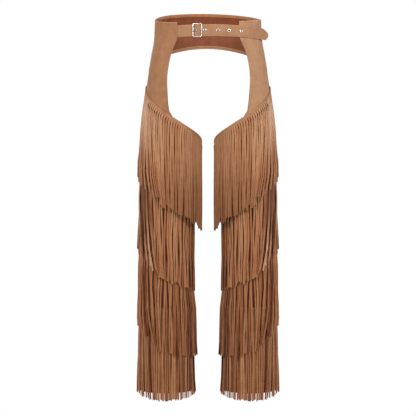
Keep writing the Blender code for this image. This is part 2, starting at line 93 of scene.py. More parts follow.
# %% Driving sizes
WALL = 1.5  # the suede's thickness
SEAM = 0.3  # the room between two pieces that are sewn together
WAIST_SIDE = 43.0  # the waist's height at the outer side of the hip
WAIST_TILT = 25.0  # how much higher it is at the back, and lower in front
WAIST_BOW = 3.0  # how much its line bows up at both
WAIST_DEPTH = 95.0
YOKE_REACH = 115.0  # from the middle of the back to a hip panel
YOKE_HEM = -21.0
YOKE_ARCH = 18.0  # how much lower its hem is, 100 mm from the middle
TURN = 8.0  # a hem's turning
OUTSEAM = 0.32  # where across the hip panel the outseam runs
LEG_HEM = -932.0
TIER_LENGTH = 242.0
HEADER = 8.0  # the uncut strip along the top of a tier
print("from the waist's side to the leg wall's hem:", WAIST_SIDE - LEG_HEM, "mm")

# %% Rings round the hips and the legs
HipRing = namedtuple("HipRing", "height half_width half_depth")
HIP_RINGS = (
    HipRing(-232, 172.0, 106.0),
    HipRing(-190, 168.6, 108.5),
    HipRing(-137, 162.2, 110.0),
    HipRing(-90, 155.5, 109.0),
    HipRing(-45, 148.5, 105.0),
    HipRing(-20, 144.0, 101.5),
    HipRing(0, 141.8, 98.5),
    HipRing(43, 140.4, 95.0),
    HipRing(80, 139.8, 93.5),
)
LegRing = namedtuple("LegRing", "height outer inner front back")
LEG_RINGS = (
    LegRing(-960, 181.0, 38.5, 79.0, 80.0),
    LegRing(-750, 178.5, 42.0, 77.5, 78.5),
    LegRing(-550, 177.5, 42.5, 79.0, 80.0),
    LegRing(-434, 176.7, 37.5, 83.0, 84.5),
    LegRing(-360, 176.7, 28.5, 86.0, 88.0),
    LegRing(-280, 175.6, 18.2, 88.5, 91.0),
    LegRing(-222, 171.3, 15.5, 89.0, 92.0),
    LegRing(-137, 162.2, 13.0, 88.0, 92.0),
    LegRing(-100, 157.0, 12.0, 86.0, 90.0),
)
print(len(HIP_RINGS), "rings round the hips,", len(LEG_RINGS), "round each leg")

# %% Lines of the tiers and of the seat's edges
TierTop = namedtuple("TierTop", "angle thigh knee shin hem")
TIER_TOPS = (
    TierTop(0, -132, -317, -511, -702),
    TierTop(45, -177, -360, -550, -708),
    TierTop(90, -220, -399, -590, -711),
    TierTop(135, -253, -422, -604, -710),
    TierTop(180, -277, -434, -603, -706),
)
TIERS = TierTop._fields[1:]
EdgeRow = namedtuple("EdgeRow", "height front back")
SEAT_EDGE = (
    EdgeRow(-222, 90.0, 92.0),
    EdgeRow(-206, 100.0, 102.5),
    EdgeRow(-190, 104.5, 107.5),
    EdgeRow(-165, 107.5, 111.0),
    EdgeRow(-120, 107.5, 113.5),
    EdgeRow(-70, 101.0, YOKE_REACH),
    EdgeRow(-45, 93.0, YOKE_REACH),
    EdgeRow(-14, 81.5, YOKE_REACH),
    EdgeRow(23, 81.0, YOKE_REACH),
)
print("tiers of fringe:", ", ".join(TIERS))

# %% Reading a table as a smooth line
read_lines = {}


def read(rows, column, at):
    """Smooth value of a table's column at a key in its first column, with no overshoot between rows."""
    line = read_lines.get((id(rows), column))
    if line is None:
        keys = [float(row[0]) for row in rows]
        values = [float(getattr(row, column)) for row in rows]
        rise = [(b - a) / (k - j) for a, b, j, k in zip(values, values[1:], keys, keys[1:])]
        inner = [0.0 if a * b <= 0 else 2 * a * b / (a + b) for a, b in zip(rise, rise[1:])]
        line = read_lines[(id(rows), column)] = keys, values, [rise[0], *inner, rise[-1]]
    keys, values, tangents = line
    if at <= keys[0]:
        return values[0]
    if at >= keys[-1]:
        return values[-1]
    i = bisect.bisect_left(keys, at) - 1
    span = keys[i + 1] - keys[i]
    t = (at - keys[i]) / span
    start = values[i] * (1 + 2 * t) + tangents[i] * span * t
    end = values[i + 1] * (3 - 2 * t) - tangents[i + 1] * span * (1 - t)
    return start * (1 - t) ** 2 + end * t * t


print("half the width of the waist:", read(HIP_RINGS, "half_width", WAIST_SIDE), "mm")

# %% Ways to blend
def ease(t):
    """From 0 to 1 with a soft start and end."""
    t = min(max(t, 0.0), 1.0)
    return t * t * (3 - 2 * t)


def mix(a, b, t):
    return a + (b - a) * t


def bell(x, middle, reach):
    """1 at the middle, and fading to both sides."""
    return math.exp(-(((x - middle) / reach) ** 2))


def bells(values, middle, reach):
    """The same for an array."""
    return np.exp(-(((values - middle) / reach) ** 2))


print("a bell one reach from its middle:", round(bell(1.0, 0.0, 1.0), 3))

# %% Surface of a leg
def tier_top(tier, angle):
    return read(TIER_TOPS, tier, abs((angle + 180.0) % 360.0 - 180.0))


def leg_point(angle, height, out=0.0):
    """Point on the left leg's outside. The angle runs from the outer side to the front and on round."""
    outer = read(LEG_RINGS, "outer", height)
    inner = read(LEG_RINGS, "inner", height)
    turn = math.radians(angle)
    depth = read(LEG_RINGS, "front" if math.sin(turn) >= 0 else "back", height)
    half = (outer - inner) / 2
    away = Vector((math.cos(turn) / half, -math.sin(turn) / depth, 0.0)).normalized()
    place = Vector(((outer + inner) / 2 + half * math.cos(turn), -depth * math.sin(turn), height))
    return place + away * out


def seam_angle(across):
    """Angle round the leg below a place across the hip panel, where the two meet."""
    edge = SEAT_EDGE[0].front if across >= 0 else SEAT_EDGE[0].back
    hip, leg = HIP_RINGS[0], LEG_RINGS[-3]
    x = hip.half_width * math.cos(abs(across) * math.acos(edge / hip.half_width))
    reach = (x - (leg.outer + leg.inner) / 2) / ((leg.outer - leg.inner) / 2)
    return math.copysign(math.degrees(math.acos(min(1.0, reach))), across)


print("outseam at", round(seam_angle(OUTSEAM), 1), "degrees round the leg")

# %% Surface of the hips and the yoke
LEG_FADE = 0.65  # the share of a hip panel's height over which the leg's depth turns into the hip's


def waist_top(y):
    back = y / WAIST_DEPTH
    return WAIST_SIDE + WAIST_TILT * back + WAIST_BOW * back * back


def hip_point(across, row):
    """Point on the left hip panel: across is 1 at the front edge, 0 at the side, -1 at the back edge."""
    column = "front" if across >= 0 else "back"
    low, high = SEAT_EDGE[0], SEAT_EDGE[-1]
    angle = seam_angle(across)
    seam = leg_point(angle, tier_top("thigh", angle) + SEAM)
    rise = (row - low.height) / (high.height - low.height)
    turn = abs(across) * math.acos(getattr(high, column) / read(HIP_RINGS, "half_width", WAIST_SIDE))
    height = mix(seam.z, waist_top(math.copysign(WAIST_DEPTH * math.sin(turn), -across)), rise)
    half_width = read(HIP_RINGS, "half_width", height)
    x = half_width * math.cos(abs(across) * math.acos(read(SEAT_EDGE, column, row) / half_width))
    hip_depth = read(HIP_RINGS, "half_depth", height) * math.sqrt(max(0.0, 1 - (x / half_width) ** 2))
    outer, inner = read(LEG_RINGS, "outer", height), read(LEG_RINGS, "inner", height)
    reach = (x - (outer + inner) / 2) / ((outer - inner) / 2)
    leg_depth = read(LEG_RINGS, column, height) * math.sqrt(max(0.0, 1 - reach * reach))
    return Vector((x, math.copysign(mix(leg_depth, hip_depth, ease(rise / LEG_FADE)), -across), height))


def yoke_point(across, rise):
    """Point on the back yoke: across is -1 at the right seam and 1 at the left, rise 0 at its lower edge."""
    x = across * YOKE_REACH
    low = YOKE_HEM - YOKE_ARCH * (x / 100.0) ** 2
    y = WAIST_DEPTH * math.sqrt(1 - (x / HIP_RINGS[-2].half_width) ** 2)
    height = mix(low, waist_top(y), rise)
    half_width = read(HIP_RINGS, "half_width", height)
    y = read(HIP_RINGS, "half_depth", height) * math.sqrt(1 - (x / half_width) ** 2)
    return Vector((x, y, height))


print("front edge of the waist:", [round(v, 1) for v in hip_point(1, 23)])

# %% [markdown]
# ## Nap, shared by every leather
# Suede is the flesh side of a hide, sanded to a short nap. Stroked one way it looks pale, the other way
# dark, so a panel shows soft patches, faint upright streaks and a fine grain. An image could hold that, but
# a node group of three noises holds it at any distance, and each leather sets its own colours and amounts.

# %% Helpers for nodes
def feed(tree, value, socket):
    """Sets a socket to a plain value, or links it to another node's output."""
    if isinstance(value, (int, float, tuple)):
        socket.default_value = value
    else:
        tree.links.new(value, socket)


def math_node(tree, operation, first, second):
    node = tree.nodes.new("ShaderNodeMath")
    node.operation = operation
    for socket, value in zip(node.inputs, (first, second)):
        feed(tree, value, socket)
    return node.outputs[0]


def swing(tree, noise, middle, weight):
    """How far a noise is from its middle, times a weight."""
    return math_node(tree, "MULTIPLY", math_node(tree, "SUBTRACT", noise, middle), weight)


def noise_node(tree, place, scale, detail, roughness=0.5, stretch=None):
    if stretch:
        mapping = tree.nodes.new("ShaderNodeMapping")
        mapping.inputs["Scale"].default_value = stretch
        feed(tree, place, mapping.inputs["Vector"])
        place = mapping.outputs[0]
    node = tree.nodes.new("ShaderNodeTexNoise")
    node.inputs["Detail"].default_value = detail
    node.inputs["Roughness"].default_value = roughness
    feed(tree, scale, node.inputs["Scale"])
    feed(tree, place, node.inputs["Vector"])
    return node.outputs["Fac"]


def mix_colours(tree, share, first, second, blend="MIX"):
    node = tree.nodes.new("ShaderNodeMix")
    node.data_type, node.blend_type = "RGBA", blend
    for socket, value in zip((node.inputs[0], node.inputs[6], node.inputs[7]), (share, first, second)):
        feed(tree, value, socket)
    return node.outputs[2]


def bump_node(tree, height, strength, distance):
    node = tree.nodes.new("ShaderNodeBump")
    node.inputs["Distance"].default_value = distance * MM
    feed(tree, strength, node.inputs["Strength"])
    feed(tree, height, node.inputs["Height"])
    return node.outputs[0]


def object_place(tree):
    return tree.nodes.new("ShaderNodeTexCoord").outputs["Object"]


print("node helpers ready")

# %% Node group: nap
def new_group(name, inputs, outputs):
    group = bpy.data.node_groups.new(name, "ShaderNodeTree")
    for label, kind, value in inputs:
        socket = group.interface.new_socket(label, in_out="INPUT", socket_type=kind)
        if value is not None:
            socket.default_value = value
    for label, kind in outputs:
        group.interface.new_socket(label, in_out="OUTPUT", socket_type=kind)
    return group, group.nodes.new("NodeGroupInput").outputs, group.nodes.new("NodeGroupOutput").inputs


nap, nap_in, nap_out = new_group(
    "Nap",
    (
        ("Stroked down", "NodeSocketColor", None),
        ("Stroked up", "NodeSocketColor", None),
        ("Patch size", "NodeSocketFloat", 55.0),
        ("Patches", "NodeSocketFloat", 0.5),
        ("Nap size", "NodeSocketFloat", 1500.0),
        ("Nap height", "NodeSocketFloat", 0.25),
    ),
    (("Colour", "NodeSocketColor"), ("Roughness", "NodeSocketFloat"), ("Normal", "NodeSocketVector")),
)
place = object_place(nap)
patches = noise_node(nap, place, nap_in["Patch size"], 4.0, 0.6)
streaks = noise_node(nap, place, 420.0, 2.0, 0.5, stretch=(1.0, 1.0, 0.16))
grain = noise_node(nap, place, nap_in["Nap size"], 3.0, 0.65)
lift = nap.nodes.new("ShaderNodeMapRange")
lift.inputs["From Min"].default_value, lift.inputs["From Max"].default_value = 0.34, 0.66
feed(nap, patches, lift.inputs["Value"])
brushed = math_node(nap, "MULTIPLY", lift.outputs[0], nap_in["Patches"])
brushed = math_node(nap, "ADD", brushed, swing(nap, streaks, 0.4, 0.5))
brushed = math_node(nap, "ADD", brushed, swing(nap, grain, 0.5, 0.9))
clear = nap.nodes.new("ShaderNodeClamp")
feed(nap, brushed, clear.inputs["Value"])
colour = mix_colours(nap, clear.outputs[0], nap_in["Stroked down"], nap_in["Stroked up"])
feed(nap, colour, nap_out["Colour"])
rough = math_node(nap, "ADD", math_node(nap, "MULTIPLY", grain, 0.16), 0.80)
feed(nap, rough, nap_out["Roughness"])
fibres = math_node(nap, "ADD", grain, math_node(nap, "MULTIPLY", streaks, 0.8))
feed(nap, bump_node(nap, fibres, nap_in["Nap height"], 0.6), nap_out["Normal"])
print("nap group:", len(nap.nodes), "nodes")

# %% [markdown]
# ## Leathers
# The face is tan. The reverse and the raw cut edges are rust-brown, where the dye went in less evenly.
# Where hands and furniture rub, along edges and folds, the nap is worn paler. A paint image could say
# where, but each vertex carries it more simply, in attributes made with the mesh: how worn it is, with a
# painted sheen on the thigh's fringe; how deeply it is dyed, so that strands cut from different parts of the
# hide differ, with painted light and shade on top; and where painted shade greys it.

# %% Leathers
# A step of dye here is also a step of painted light and shade.
DYE_DEPTH = 0.13  # how far one step of dye bends the colour: paler above 0, deeper below
# how far wear, and the thigh fringe's painted sheen, pale the colour
RUB_AND_SHEEN_SHOW = 0.4
Hide = namedtuple("Hide", "down up worn patches nap_height sheen")
HIDES = {
    "suede": Hide((0.320, 0.156, 0.077), (0.410, 0.215, 0.113), (0.48, 0.28, 0.17), 0.65, 0.3, 0.22),
    # The strands' suede is redder than the panels' and paler; the paleness is painted light against the
    # shade among strands.
    "strand_suede": Hide((0.390, 0.178, 0.083), (0.505, 0.252, 0.127), (0.56, 0.33, 0.20), 0.6, 0.3, 0.24),
    "suede_reverse": Hide((0.200, 0.061, 0.029), (0.280, 0.093, 0.045), (0.36, 0.15, 0.09), 0.6, 0.4, 0.10),
    "strand_reverse": Hide((0.205, 0.068, 0.033), (0.285, 0.104, 0.054), (0.36, 0.17, 0.10), 0.6, 0.4, 0.14),
}


def new_material(name):
    """A material of its own, with its node tree and its shader."""
    material = bpy.data.materials.new(name)
    material.use_nodes = True
    return material, material.node_tree, material.node_tree.nodes["Principled BSDF"]


def set_inputs(node, values):
    for label, value in values.items():
        node.inputs[label].default_value = value


def attribute_node(tree, label):
    node = tree.nodes.new("ShaderNodeAttribute")
    node.attribute_name = label
    return node.outputs["Fac"]


def make_leather(name, hide):
    material, tree, shader = new_material(name)
    group = tree.nodes.new("ShaderNodeGroup")
    group.node_tree = nap
    set_inputs(group, {"Stroked down": (*hide.down, 1.0), "Stroked up": (*hide.up, 1.0)})
    set_inputs(group, {"Patches": hide.patches, "Nap height": hide.nap_height})
    paled = math_node(tree, "MULTIPLY", attribute_node(tree, "rub_and_sheen"), RUB_AND_SHEEN_SHOW)
    colour = mix_colours(tree, paled, group.outputs["Colour"], (*hide.worn, 1.0))
    # Deeper dye and painted shade are darker and more saturated, as a power of the colour is.
    shade = tree.nodes.new("ShaderNodeGamma")
    feed(tree, colour, shade.inputs["Color"])
    depth = math_node(tree, "MULTIPLY", attribute_node(tree, "dye"), DYE_DEPTH)
    feed(tree, math_node(tree, "SUBTRACT", 1.0, depth), shade.inputs["Gamma"])
    # Painted shade greys it evenly.
    unshaded = math_node(tree, "SUBTRACT", 1.0, attribute_node(tree, "dirt"))
    colour = mix_colours(tree, 1.0, shade.outputs[0], unshaded, "MULTIPLY")
    feed(tree, colour, shader.inputs["Base Color"])
    for label in ("Roughness", "Normal"):
        feed(tree, group.outputs[label], shader.inputs[label])
    set_inputs(shader, {"Specular IOR Level": 0.15, "Sheen Weight": hide.sheen, "Sheen Roughness": 0.45})
    set_inputs(shader, {"Sheen Tint": (1.0, 0.80, 0.62, 1.0)})
    return material


leather = {name: make_leather(name, hide) for name, hide in HIDES.items()}
SUEDE_FINISHES = [leather["suede"], leather["suede_reverse"], leather["suede"]]  # outside, inside, turned in
print("leathers:", ", ".join(leather))

# %% [markdown]
# ## Nickel and thread
# The buckle and eyelets are plated wire and pressed sheet: bright, with fine scratches and a film of
# tarnish that is greyer and rougher in patches, and dark grime, also painted shade, in the eyelets' bores
# and under their flanges' edges, where a vertex attribute says. The thread is a twisted polyester in the
# suede's own tan, so it shows by its shadow and a faint lustre. Modelled plies would be too small to see, so
# the twist is a wave across the thread in its normal.

# %% Nickel and thread
def make_nickel():
    material, tree, shader = new_material("nickel")
    spot = object_place(tree)
    film = noise_node(tree, spot, 260.0, 3.0, 0.6)
    scratches = noise_node(tree, spot, 2400.0, 2.0, 0.5, stretch=(1.0, 1.0, 0.08))
    grime = attribute_node(tree, "grime")
    plated = mix_colours(tree, film, (0.90, 0.885, 0.86, 1.0), (0.70, 0.69, 0.67, 1.0))
    feed(tree, mix_colours(tree, grime, plated, (0.035, 0.04, 0.038, 1.0)), shader.inputs["Base Color"])
    rough = math_node(tree, "ADD", math_node(tree, "MULTIPLY", film, 0.14), 0.16)
    for mark, weight in ((grime, 0.4), (scratches, 0.06)):
        rough = math_node(tree, "ADD", rough, math_node(tree, "MULTIPLY", mark, weight))
    feed(tree, rough, shader.inputs["Roughness"])
    feed(tree, bump_node(tree, scratches, 0.12, 0.2), shader.inputs["Normal"])
    set_inputs(shader, {"Metallic": 1.0})
    return material


def make_thread():
    material, tree, shader = new_material("thread")
    spot = object_place(tree)
    fluff = noise_node(tree, spot, 1900.0, 2.0)
    colour = mix_colours(tree, fluff, (0.24, 0.115, 0.058, 1.0), (0.42, 0.22, 0.12, 1.0))
    feed(tree, colour, shader.inputs["Base Color"])
    twist = tree.nodes.new("ShaderNodeTexWave")
    twist.bands_direction = "DIAGONAL"
    twist.inputs["Scale"].default_value = 900.0
    feed(tree, spot, twist.inputs["Vector"])
    feed(tree, bump_node(tree, twist.outputs["Fac"], 0.4, 0.2), shader.inputs["Normal"])
    set_inputs(shader, {"Roughness": 0.55})
    return material


nickel, thread = make_nickel(), make_thread()
print("also:", nickel.name, thread.name)

# %% [markdown]
# ## A panel of cloth
# A cut piece of suede has two faces and a soft rounded edge, and along a hem a second layer is turned to
# the inside, which makes it thicker there. Solidify gives one thickness all over, so the panel is made in
# mesh code: a grid for the outer face, the same grid moved inwards by the local thickness, and a half-round
# rim.

# %% Grids on a surface
def dense(surface, across, rows):
    """Points of the surface at every pair of across and row, as an array (rows, across, 3)."""
    return np.array([[surface(a, r) for a in across] for r in rows])


def turned(grid):
    return grid.transpose(1, 0, 2)


def mirrored(grid):
    """The right half's grid: x turned round, and the columns too, so that they still run rightwards."""
    return grid[:, ::-1] * np.array((-1.0, 1.0, 1.0))


def unit(vector):
    return vector / max(np.linalg.norm(vector), 1e-9)


def normals_of(grid):
    right = np.gradient(grid, axis=1)
    up = np.gradient(grid, axis=0)
    normal = np.cross(right, up)
    return normal / np.maximum(np.linalg.norm(normal, axis=2, keepdims=True), 1e-9)


def moved_out(grid, out):
    """The grid with each point moved along its normal."""
    return grid + normals_of(grid) * out[..., None]


sample = dense(hip_point, (1.0, 0.5, 0.0), (-200.0, 0.0))
print("a coarse grid on the hip:", sample.shape)

# %% Lengths along a grid
def lengths_along(line):
    return np.concatenate(([0.0], np.cumsum(np.linalg.norm(np.diff(line, axis=0), axis=1))))


def along_rows(grid):
    """Each point's distance along its row."""
    return np.array([lengths_along(line) for line in grid])


def along_columns(grid):
    return along_rows(turned(grid)).T


def from_row_ends(grid):
    """Each point's distance from the nearer end of its row."""
    along = along_rows(grid)
    return np.minimum(along, along[:, -1:] - along)


def at_lengths(line, lengths, places):
    return np.stack([np.interp(places, lengths, line[:, k]) for k in range(3)], axis=1)


def marked(total, start, end, count):
    """Distances along a line: the marks at its start, even steps, and the marks before its end."""
    first, last = (start[-1] if start else 0.0), total - (end[-1] if end else 0.0)
    middle = np.linspace(first, last, count + 2)[(1 if start else 0) : (-1 if end else None)]
    return np.concatenate((start, middle, [total - m for m in reversed(end)]))


def recut(grid, start, end, count):
    """The grid with its rows' points moved along each row to the marks."""
    out = []
    for line in grid:
        lengths = lengths_along(line)
        out.append(at_lengths(line, lengths, marked(lengths[-1], start, end, count)))
    return np.array(out)


def flat_size(grid):
    """Width and length of the cut, in metres: its longest row and its longest column."""
    width, length = along_rows(grid)[:, -1].max() * MM, along_columns(grid)[-1].max() * MM
    return round(float(width), 4), round(float(length), 4)


print("its size, if it were flat:", flat_size(sample), "m")

# %% Mesh pieces
SOFT_ANGLE = 50.0
pieces = {}


def new_piece(name, points, faces, finishes, which=None, marks=None, soft_angle=SOFT_ANGLE):
    """A mesh object from points in millimetres, with its finishes, attributes and shading."""
    mesh = bpy.data.meshes.new(name)
    mesh.from_pydata((np.asarray(points) * MM).tolist(), [], faces)
    for finish in finishes:
        mesh.materials.append(finish)
    if which is not None:
        mesh.polygons.foreach_set("material_index", np.asarray(which, np.int32))
    for label, values in (marks or {}).items():
        attribute = mesh.attributes.new(label, "FLOAT", "POINT")
        attribute.data.foreach_set("value", np.asarray(values, np.float32))
    mesh.shade_smooth()
    mesh.set_sharp_from_angle(angle=math.radians(soft_angle))
    obj = bpy.data.objects.new(name, mesh)
    bpy.context.scene.collection.objects.link(obj)
    return obj


def keep(piece, grid=None):
    """Lists a finished piece, and prints its faces and the size it was cut to."""
    pieces[piece.name] = piece
    cut = f", cut {flat_size(grid)} m" if grid is not None else ""
    print(f"{piece.name}: {len(piece.data.polygons)} faces{cut}")


print("faces that meet at less than", SOFT_ANGLE, "degrees are shaded as one")

# %% A panel from a grid
RIM_STEPS = 4


def edge_places(rows, columns):
    """The places of a grid's edge, once round it."""
    return (
        [(0, c) for c in range(columns - 1)]
        + [(r, columns - 1) for r in range(rows - 1)]
        + [(rows - 1, c) for c in range(columns - 1, 0, -1)]
        + [(r, 0) for r in range(rows - 1, 0, -1)]
    )


def panel_piece(name, grid, thick, finishes, face_in=False, rub_and_sheen=0.0, dye=0.0):
    """A cloth panel: finishes are outside, inside and where the face is turned in. Returns the object."""
    rows, columns = grid.shape[:2]
    thick, face_in, rub_and_sheen, dye = (np.broadcast_to(v, (rows, columns)) for v in (thick, face_in, rub_and_sheen, dye))
    inner = grid - normals_of(grid) * thick[..., None]
    count = rows * columns
    index = np.arange(count).reshape(rows, columns)
    edge = edge_places(rows, columns)
    right, up = np.gradient(grid, axis=1), np.gradient(grid, axis=0)
    points = [grid.reshape(-1, 3), inner.reshape(-1, 3)]
    rings = [[int(index[place]) for place in edge]]
    for step in range(1, RIM_STEPS):
        turn = math.pi * step / RIM_STEPS
        ring = []
        for r, c in edge:
            rightwards, upwards = int(c == columns - 1) - int(c == 0), int(r == rows - 1) - int(r == 0)
            away = unit(rightwards * unit(right[r, c]) + upwards * unit(up[r, c]))
            middle, half = (grid[r, c] + inner[r, c]) / 2, (grid[r, c] - inner[r, c]) / 2
            ring.append(middle + half * math.cos(turn) + away * thick[r, c] / 2 * math.sin(turn))
        rings.append([2 * count + (step - 1) * len(edge) + i for i in range(len(edge))])
        points.append(np.array(ring))
    rings.append([count + int(index[place]) for place in edge])
    faces, which = [], []
    for r in range(rows - 1):
        for c in range(columns - 1):
            quad = [int(index[r, c]), int(index[r, c + 1]), int(index[r + 1, c + 1]), int(index[r + 1, c])]
            faces += [quad, [count + v for v in reversed(quad)]]
            which += [0, 2 if face_in[r, c] and face_in[r + 1, c + 1] else 1]
    for step, (one, other) in enumerate(zip(rings, rings[1:])):
        for i in range(len(edge)):
            j = (i + 1) % len(edge)
            faces.append([one[j], one[i], other[i], other[j]])
            which.append(1 if step > 1 and not face_in[edge[i]] else 0)
    marks = {}
    for label, values in (("rub_and_sheen", rub_and_sheen), ("dye", dye)):
        rim = [values[place] for place in edge] * (RIM_STEPS - 1)
        marks[label] = np.concatenate((values.ravel(), values.ravel(), rim))
    return new_piece(name, np.concatenate(points), faces, finishes, which, marks)


print("places round a panel of 3 by 4 points:", len(edge_places(3, 4)))

# %% [markdown]
# ## Creases
# Worn suede pulls in soft lines from where it is held: under the belt, from the outseam and above the thigh
# seam. A cloth simulation would move the seams away from the solids' places, so the main creases are given
# as a table of troughs (depth below zero) and ridges between two places on a panel.

# %% Where the creases lie
Crease = namedtuple("Crease", "across_a row_a across_b row_b width depth")
HIP_CREASES = {
    "right": (
        Crease(0.95, 10, 0.80, -120, 8.0, -0.6),
        Crease(0.74, 15, 0.62, -150, 10.0, 0.5),
        Crease(0.50, -15, 0.44, -140, 11.0, -0.6),
        Crease(0.22, 5, 0.12, -170, 10.0, -0.7),
        Crease(0.90, -150, 0.35, -205, 7.0, -0.7),
        Crease(0.98, -95, 0.75, -185, 6.0, 0.6),
        Crease(-0.15, 10, -0.30, -190, 10.0, 1.0),
        Crease(-0.45, 0, -0.62, -180, 9.0, -1.3),
        Crease(-0.80, -20, -0.66, -150, 8.0, 0.9),
        Crease(-0.92, -60, -0.50, -200, 8.0, -1.1),
    ),
    "left": (
        Crease(0.92, -22, 0.68, -110, 8.0, -0.8),
        Crease(0.66, -25, 0.42, -120, 9.0, 0.6),
        Crease(0.38, -28, 0.14, -150, 10.0, -0.8),
        Crease(0.96, -110, 0.82, -190, 7.0, -0.6),
        Crease(0.60, -160, 0.25, -212, 8.0, -0.7),
        Crease(0.55, 20, 0.45, -15, 7.0, -0.6),
        Crease(-0.20, -10, -0.36, -185, 10.0, -1.2),
        Crease(-0.50, 5, -0.60, -170, 9.0, 1.0),
        Crease(-0.84, -30, -0.70, -170, 8.0, -1.1),
    ),
}
YOKE_CREASES = (
    Crease(-0.75, 0.85, -0.25, 0.45, 7.0, -0.9),
    Crease(-0.40, 0.30, 0.10, 0.22, 6.0, 0.8),
    Crease(0.30, 0.80, 0.70, 0.40, 7.0, -1.0),
    Crease(0.05, 0.75, 0.20, 0.10, 8.0, 0.7),
    Crease(-0.85, 0.15, -0.55, 0.75, 6.0, -0.8),
)
print("creases:", sum(map(len, HIP_CREASES.values())) + len(YOKE_CREASES))

# %% Creased cloth
EDGE_FADE = 9.0  # a crease dies out this far from a seam or hem
CREASE_STEPS = 28
HEM_MARKS = (0.0, 0.7, 1.8, 3.2, 4.6, 6.2, 7.6, 8.1)  # lines of the mesh, in from a turned edge
HEM_STITCH = 4  # the mark that the stitches follow
FOLD_FULLEST = 1.8


def crease_depth(grid, surface, creases, side):
    """How far out each point of the grid goes, for the creases on that surface."""
    flip = -1.0 if side == "right" else 1.0
    depth = np.zeros(grid.shape[:2])
    for crease in creases:
        line = [
            surface(mix(crease.across_a, crease.across_b, t), mix(crease.row_a, crease.row_b, t))
            for t in np.linspace(0, 1, CREASE_STEPS)
        ]
        line = np.array(line) * (flip, 1.0, 1.0)
        apart = np.linalg.norm(grid[:, :, None] - line[None, None], axis=3)
        nearest = apart.argmin(axis=2)
        taper = np.sin(np.pi * (nearest + 0.5) / CREASE_STEPS) ** 0.8
        depth += crease.depth * taper * bells(apart.min(axis=2), 0.0, crease.width)
    return depth


def fade_from_edges(grid, fade=EDGE_FADE):
    """1 in the middle of a grid, 0 at its four edges."""
    share = np.ones(grid.shape[:2])
    for near in (from_row_ends(turned(grid)).T, from_row_ends(grid)):
        near = np.clip(near / fade, 0, 1)
        share *= near * near * (3 - 2 * near)
    return share


def settled(grid):
    """The waist sits a little twisted and dips in the middle, and the opening leans a little to the left."""
    x, y, z = grid[..., 0], grid[..., 1], grid[..., 2]
    twist, dip = 0.018 * x * np.clip(y / 60.0, -1, 1), 2.0 * bells(y, 0.0, 45.0)
    out = grid.copy()
    out[..., 2] -= (twist + dip) * np.clip(1 + z / 150.0, 0, 1)
    out[..., 0] += 2.0 * np.clip((150.0 - np.abs(x)) / 50.0, 0, 1) * bells(z, -90.0, 90.0)
    return out


def worn_in(grid, surface, creases, side, fold):
    """The grid as it is worn, with its creases and the relief of its hems. Fold is the distance from one."""
    relief = crease_depth(grid, surface, creases, side) * fade_from_edges(grid)
    # A fold is a little fuller than the cloth, and the thread draws it in.
    relief += 0.5 * bells(fold, FOLD_FULLEST, 1.6) - 0.45 * bells(fold, HEM_MARKS[HEM_STITCH], 1.0)
    return settled(moved_out(grid, relief))


print("the stitches run", HEM_MARKS[HEM_STITCH], "mm in from a fold")

# %% [markdown]
# ## Stitches
# Each seam and hem is held by a lockstitch: a row of short threads, each dipping into the cloth at both
# ends. A texture would lie flat, so one stitch is modelled, as a six-sided spindle, and laid along every
# line of stitching. All the stitches of a part of the garment are one mesh.

# %% Stitches
STITCH_PITCH = 3.3
STITCH_LENGTH = 2.6
THREAD_RADIUS = 0.27
THREAD_LIFT = 0.05
THREAD_SIDES = 6
StitchRing = namedtuple("StitchRing", "place size lift")
STITCH_RINGS = (
    StitchRing(-0.5, 0.35, -0.22),
    StitchRing(-0.36, 0.9, 0.06),
    StitchRing(0.0, 1.0, 0.16),
    StitchRing(0.36, 0.9, 0.06),
    StitchRing(0.5, 0.35, -0.22),
)
stitch_lines = {}


def sew(group, grid, normals, *lines, pitch=STITCH_PITCH):
    """Keeps lines of stitching: each is a run of the grid's points, with the cloth's normals there."""
    for line in lines:
        stitch_lines.setdefault(group, []).append((grid[line], normals[line], pitch))


def stitch_piece(name, lines):
    points, faces = [], []
    for line, normals, pitch in lines:
        lengths = lengths_along(line)
        for number in range(int(lengths[-1] / pitch)):
            middle = (number + 0.5) * pitch
            ends = at_lengths(line, lengths, [middle - STITCH_LENGTH / 2, middle + STITCH_LENGTH / 2])
            out = unit(at_lengths(normals, lengths, [middle])[0])
            along = unit(ends[1] - ends[0])
            beside = np.cross(out, along)
            base = len(points)
            for ring in STITCH_RINGS:
                centre = (ends[0] + ends[1]) / 2 + along * ring.place * STITCH_LENGTH
                centre = centre + out * (ring.lift + THREAD_LIFT)
                for corner in range(THREAD_SIDES):
                    turn = math.tau * corner / THREAD_SIDES
                    spoke = beside * math.cos(turn) + out * math.sin(turn)
                    points.append(centre + spoke * THREAD_RADIUS * ring.size)
            last = base + (len(STITCH_RINGS) - 1) * THREAD_SIDES
            for ring in range(base, last, THREAD_SIDES):
                for corner in range(THREAD_SIDES):
                    a, b = ring + corner, ring + (corner + 1) % THREAD_SIDES
                    faces.append((a, a + THREAD_SIDES, b + THREAD_SIDES, b))
            faces.append(tuple(range(base, base + THREAD_SIDES)))
            faces.append(tuple(range(last + THREAD_SIDES - 1, last - 1, -1)))
    return new_piece(name, points, faces, [thread])


print("a stitch every", STITCH_PITCH, "mm")

# %% [markdown]
# ## Hip panels
# A front and a back panel of each hip are cut flat and lapped at the outseam, the front over the back.
# Their top, front and back edges are turned in and topstitched. The panel's grid is recut so that its lines
# lie at the fold, at the stitches and at the turned edge, which gives the second layer a crisp step on the
# inside, where its tan face shows.

